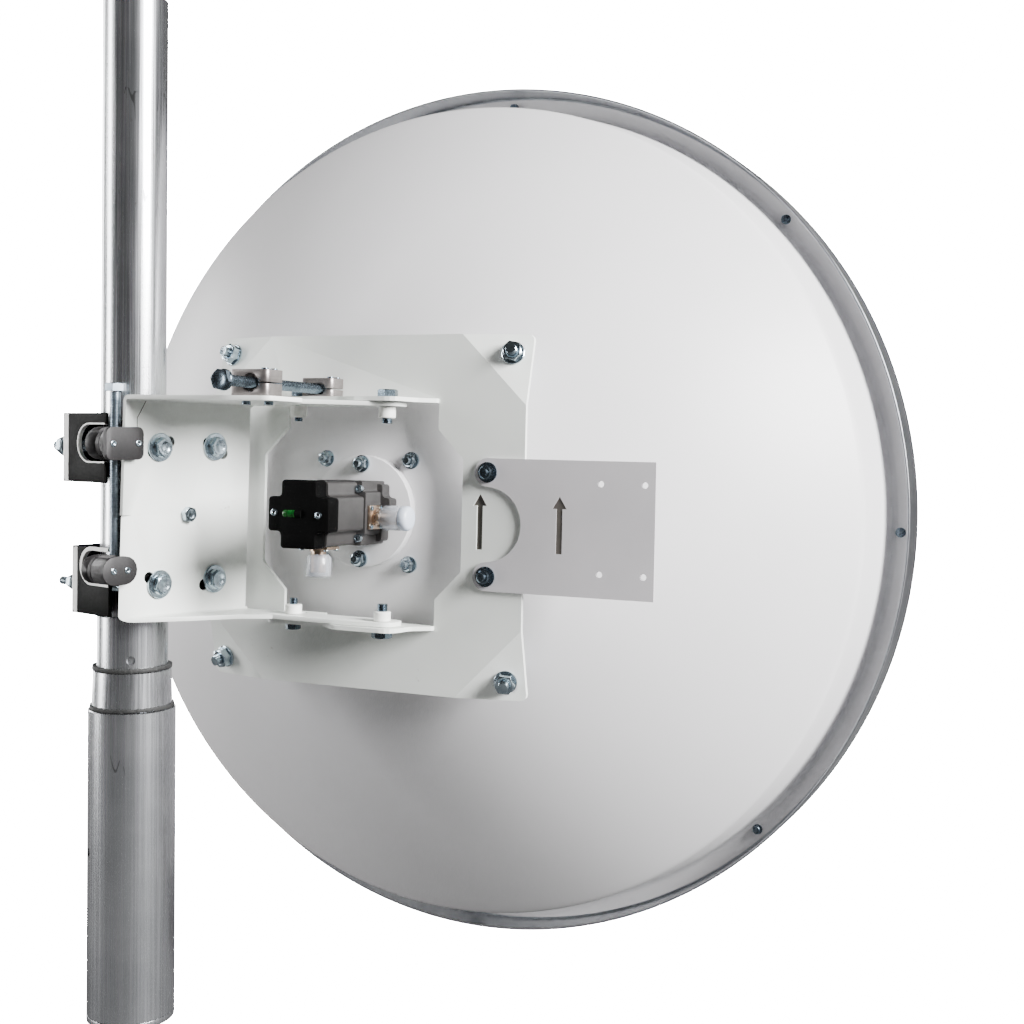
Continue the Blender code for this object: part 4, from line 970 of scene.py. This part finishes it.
rimScrews = {"count": 8, "first": 88.4, "ring": 460.7, "seat": 312.0, "across": 8, "head": 4.5,
             "washerRadius": 5.2, "washer": 1.2, "stud": 2.6, "studHeight": 2.5, "finish": "darkZinc",
             "seed": 4}
turns = [radians(rimScrews["first"] + 360 * i / rimScrews["count"]) for i in range(rimScrews["count"])]
setOfScrews("rimScrews", [polar(rimScrews["ring"], turn, -rimScrews["seat"]) for turn in turns],
            rimScrews, "antenna")
hubNut = {"across": 12.4, "head": 6.5, "washerRadius": 8.2, "washer": 2.6, "stud": 3.9,
          "studHeight": 4.0, "seed": 6}
setOfScrews("hubNuts", [(47, 50, -16.2), (-47, 50, -16.2), (47, -50, -16.2), (-47, -50, -16.2),
                        (0, 46, -3.2), (0, -46, -3.2)], hubNut, "antenna")
print("dish built")


# Mount plate, side plate and feed

softened("mount_plate", "whitePaint", 0, crease=5)
softened("side_plate", "greyPaint", 0)
arrows = {"tall": 52.0, "shaft": 6.0, "head": 14.0,
          "plate": (128.0, -5.0, -3.4), "side": (209.0, -5.25, 0.6)}
# each cut arrow gets a dark sheet inside it: painted shade standing for the shade seen through the cut
for name in ("plate", "side"):   # the cut arrows are dark inside
    x, z, low = arrows[name]
    top, foot = z + arrows["tall"] / 2, z - arrows["tall"] / 2
    neck, shaft, head = top - arrows["head"] * 0.8, arrows["shaft"] / 2, arrows["head"] / 2
    bm = bmesh.new()
    prism(bm, dishRear,
          [(x - shaft, foot), (x + shaft, foot), (x + shaft, neck), (x + head, neck), (x, top),
           (x - head, neck), (x - shaft, neck)], low, low + 1.6)
    show(name + "Arrow", bm, "arrowShade", "antenna")
setOfScrews("sidePlateScrews", [(136.5, 41.0, 2.7), (136.5, -55.5, 2.7)],
            {"across": 13, "head": 5.5, "washerRadius": 9.5, "washer": 1.6, "stud": 4.0, "studHeight": 3.0,
             "finish": "darkZinc", "seed": 9}, "antenna")
softened("feed_disc", "dishPaint", 0.5)
softened("feed_tube", "hoopStrip", 0.4)
softened("subreflector", "dishPaint", 0.4)
softened("feed_body", "castMetal", 0.7)
softened("feed_cap", "blackPlastic", 1.0)

setOfSockets("feedCapScrews", dishRear, [(-25.0, 0.8, 109.8), (21.5, -0.4, 109.8)],
             {"radius": 3.3, "height": 1.2, "socket": 2.6, "depth": 1.1}, "antenna")
setOfSockets("feedBodyScrews", dishRear, [(x, z - 0.25, 40.2) for x in (-23.4, 23.4) for z in (-23.0, 23.0)],
             {"radius": 3.7, "height": 4.6, "socket": 3.2, "depth": 2.4}, "antenna")
level = {"from": -17.0, "to": 2.5, "z": 0.2, "radius": 3.9, "depth": 108.0, "marks": (6.0, 11.5),
         "plug": 14.2}


def alongLevel(along):
    return at(dishFrame, (level["from"] + along, -level["depth"], level["z"]), "right")


bm = bmesh.new()
span, full = level["to"] - level["from"], level["radius"]
lathe(bm, alongLevel(0), [(0, 0), (2.4, 0.3), (3.4, 1.2), (full, 2.6), (full, span - 2.6),
                          (3.4, span - 1.2), (2.4, span - 0.3), (0, span)], 28)
show("levelVial", bm, "levelFluid", "antenna", 50)
bm = bmesh.new()
for along in level["marks"]:
    lathe(bm, alongLevel(along), [(full - 0.3, 0), (full + 0.08, 0), (full + 0.08, 0.45),
                                  (full - 0.3, 0.45)], 28, closed=True)
lathe(bm, alongLevel(level["plug"]), [(full + 0.5, 0), (full + 0.5, 6.2), (0, 6.2)], 28)
show("levelMarks", bm, "blackPlastic", "antenna")

connectors = {
    "side_connector": {"at": (29.2, -25.0, -4.0), "axis": "right", "half": (11.2, 11.2), "core": 6.2,
                       "capRadius": 11.6, "capFrom": 10.0, "capTo": 31.0, "endTo": 40.0},
    "lower_connector": {"at": (0.0, -73.0, -30.2), "axis": "down", "half": (15.5, 11.0), "core": 7.0,
                        "capRadius": 11.8, "capFrom": 7.5, "capTo": 28.0, "endTo": 0.0}}
for node, look in connectors.items():
    spot = at(dishFrame, look["at"], look["axis"])
    wide, tall = look["half"]
    core, collar, end = look["core"], look["core"] + 1.4, look["endTo"]
    outer, low, high = look["capRadius"], look["capFrom"], look["capTo"]
    bm = bmesh.new()
    roundedBox(bm, spot, (-wide, wide, -tall, tall, 0.1, 2.6), 0.5)
    lathe(bm, spot, [(collar, 2.5), (collar, 4.6), (core, 4.8), (core, 9.0)], 36)
    thread(bm, spot, core + 0.3, 8.8, high - 4.0, 1.2, 32)
    piece = show(camel(node), bm, "brass", "antenna")
    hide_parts(node)
    bm = bmesh.new()
    lathe(bm, spot, [(outer - 3.0, low), (outer, low + 3.5), (outer, high - 1.0), (outer - 1.0, high),
                     (0, high), (0, high - 1.4), (outer - 2.2, high - 1.4), (outer - 1.3, high - 2.4),
                     (outer - 1.3, low + 4.0), (outer - 3.6, low + 0.6)], 48, closed=True)
    show(camel(node) + "Cap", bm, "clearPlastic", "antenna", 50)
    if end:
        bm = bmesh.new()
        lathe(bm, spot, [(outer - 0.6, high - 0.2), (outer, high + 0.8), (outer, end - 3.0),
                         (outer - 1.5, end - 0.8), (outer - 4.0, end)], 48)
        show(camel(node) + "End", bm, "milkyPlastic", "antenna", 50)
    ends = [(x, y, 2.5) for x in (-wide + 2.6, wide - 2.6) for y in (-tall + 2.6, tall - 2.6)]
    setOfSockets(camel(node) + "Screws", spot, ends,
                 {"radius": 2.3, "height": 1.6, "socket": 1.8, "depth": 1.0}, "antenna")
print("feed built")


# Camera, floor and light

camera = inScene("camera", bpy.data.cameras.new("camera"))
camera.data.lens = 51.3
camera.data.sensor_width = 36.0
camera.data.shift_y = -0.0865
camera.data.clip_end = 100
camera.location = (0.903, -1.127, 0.568)
aim = Vector((-0.4094, 0.9123, 0)).to_track_quat("-Z", "Y")
camera.rotation_euler = (aim @ Matrix.Rotation(radians(0.3), 3, "Z").to_quaternion()).to_euler()
bpy.context.scene.camera = camera

# The floor is pale to the camera and throws little light up. It lies below the mast's foot,
# because the tilted dish reaches 47 mm below it
studio = {"floor": 40.0, "drop": 0.055, "pale": (0.82, 0.82, 0.82), "bounce": (0.06, 0.06, 0.06),
          "floorGlow": 40.0, "air": 0.045, "backdrop": 40.0}
bm = bmesh.new()
bmesh.ops.create_grid(bm, x_segments=1, y_segments=1, size=studio["floor"] / 2)
floorMesh = bpy.data.meshes.new("studioFloor")
bm.to_mesh(floorMesh)
bm.free()
studioFloor = inScene("studioFloor", floorMesh)
studioFloor.location = (0, 0, -studio["drop"])
floorPaint = bpy.data.materials.new("floorPaint")
floorPaint.use_nodes = True
floorShader = floorPaint.node_tree.nodes["Principled BSDF"]
floorShader.inputs["Roughness"].default_value = 0.9
floorShader.inputs["Emission Color"].default_value = (1, 1, 1, 1)
floorTree = floorPaint.node_tree
toCamera = addNode(floorTree, "ShaderNodeLightPath").outputs["Is Camera Ray"]
glow = calculate(floorTree, "MULTIPLY", toCamera, studio["floorGlow"])
floorTree.links.new(glow, floorShader.inputs["Emission Strength"])
shown = mixColours(floorTree, toCamera, studio["bounce"], studio["pale"])
floorTree.links.new(shown, floorShader.inputs["Base Color"])
floorMesh.materials.append(floorPaint)

air = bpy.data.worlds.new("studioAir")
air.use_nodes = True
airTree = air.node_tree
background = airTree.nodes["Background"]
background.inputs["Color"].default_value = (1, 1, 1, 1)
seen = addNode(airTree, "ShaderNodeLightPath").outputs["Is Camera Ray"]
strength = spread(airTree, seen, 0.0, 1.0, studio["air"], studio["backdrop"])
airTree.links.new(strength, background.inputs["Strength"])
bpy.context.scene.world = air

softboxes = [
    {"name": "keyRight", "at": (3.2, -0.45, 1.75), "to": (0.2, 0.1, 0.5), "size": (1.3, 1.5), "watts": 560},
    {"name": "fillLeft", "at": (-2.3, -1.25, 0.9), "to": (0.0, 0.0, 0.5), "size": (0.7, 2.0), "watts": 85},
    {"name": "rimLeft", "at": (-2.3, 0.75, 0.6), "to": (0.0, 0.0, 0.5), "size": (0.6, 2.2), "watts": 60},
]
for box in softboxes:
    lamp = bpy.data.lights.new(box["name"], "AREA")
    lamp.shape = "RECTANGLE"
    lamp.size, lamp.size_y = box["size"]
    lamp.energy = box["watts"]
    holder = inScene(box["name"], lamp)
    holder.location = box["at"]
    holder.rotation_euler = (Vector(box["to"]) - Vector(box["at"])).to_track_quat("-Z", "Y").to_euler()
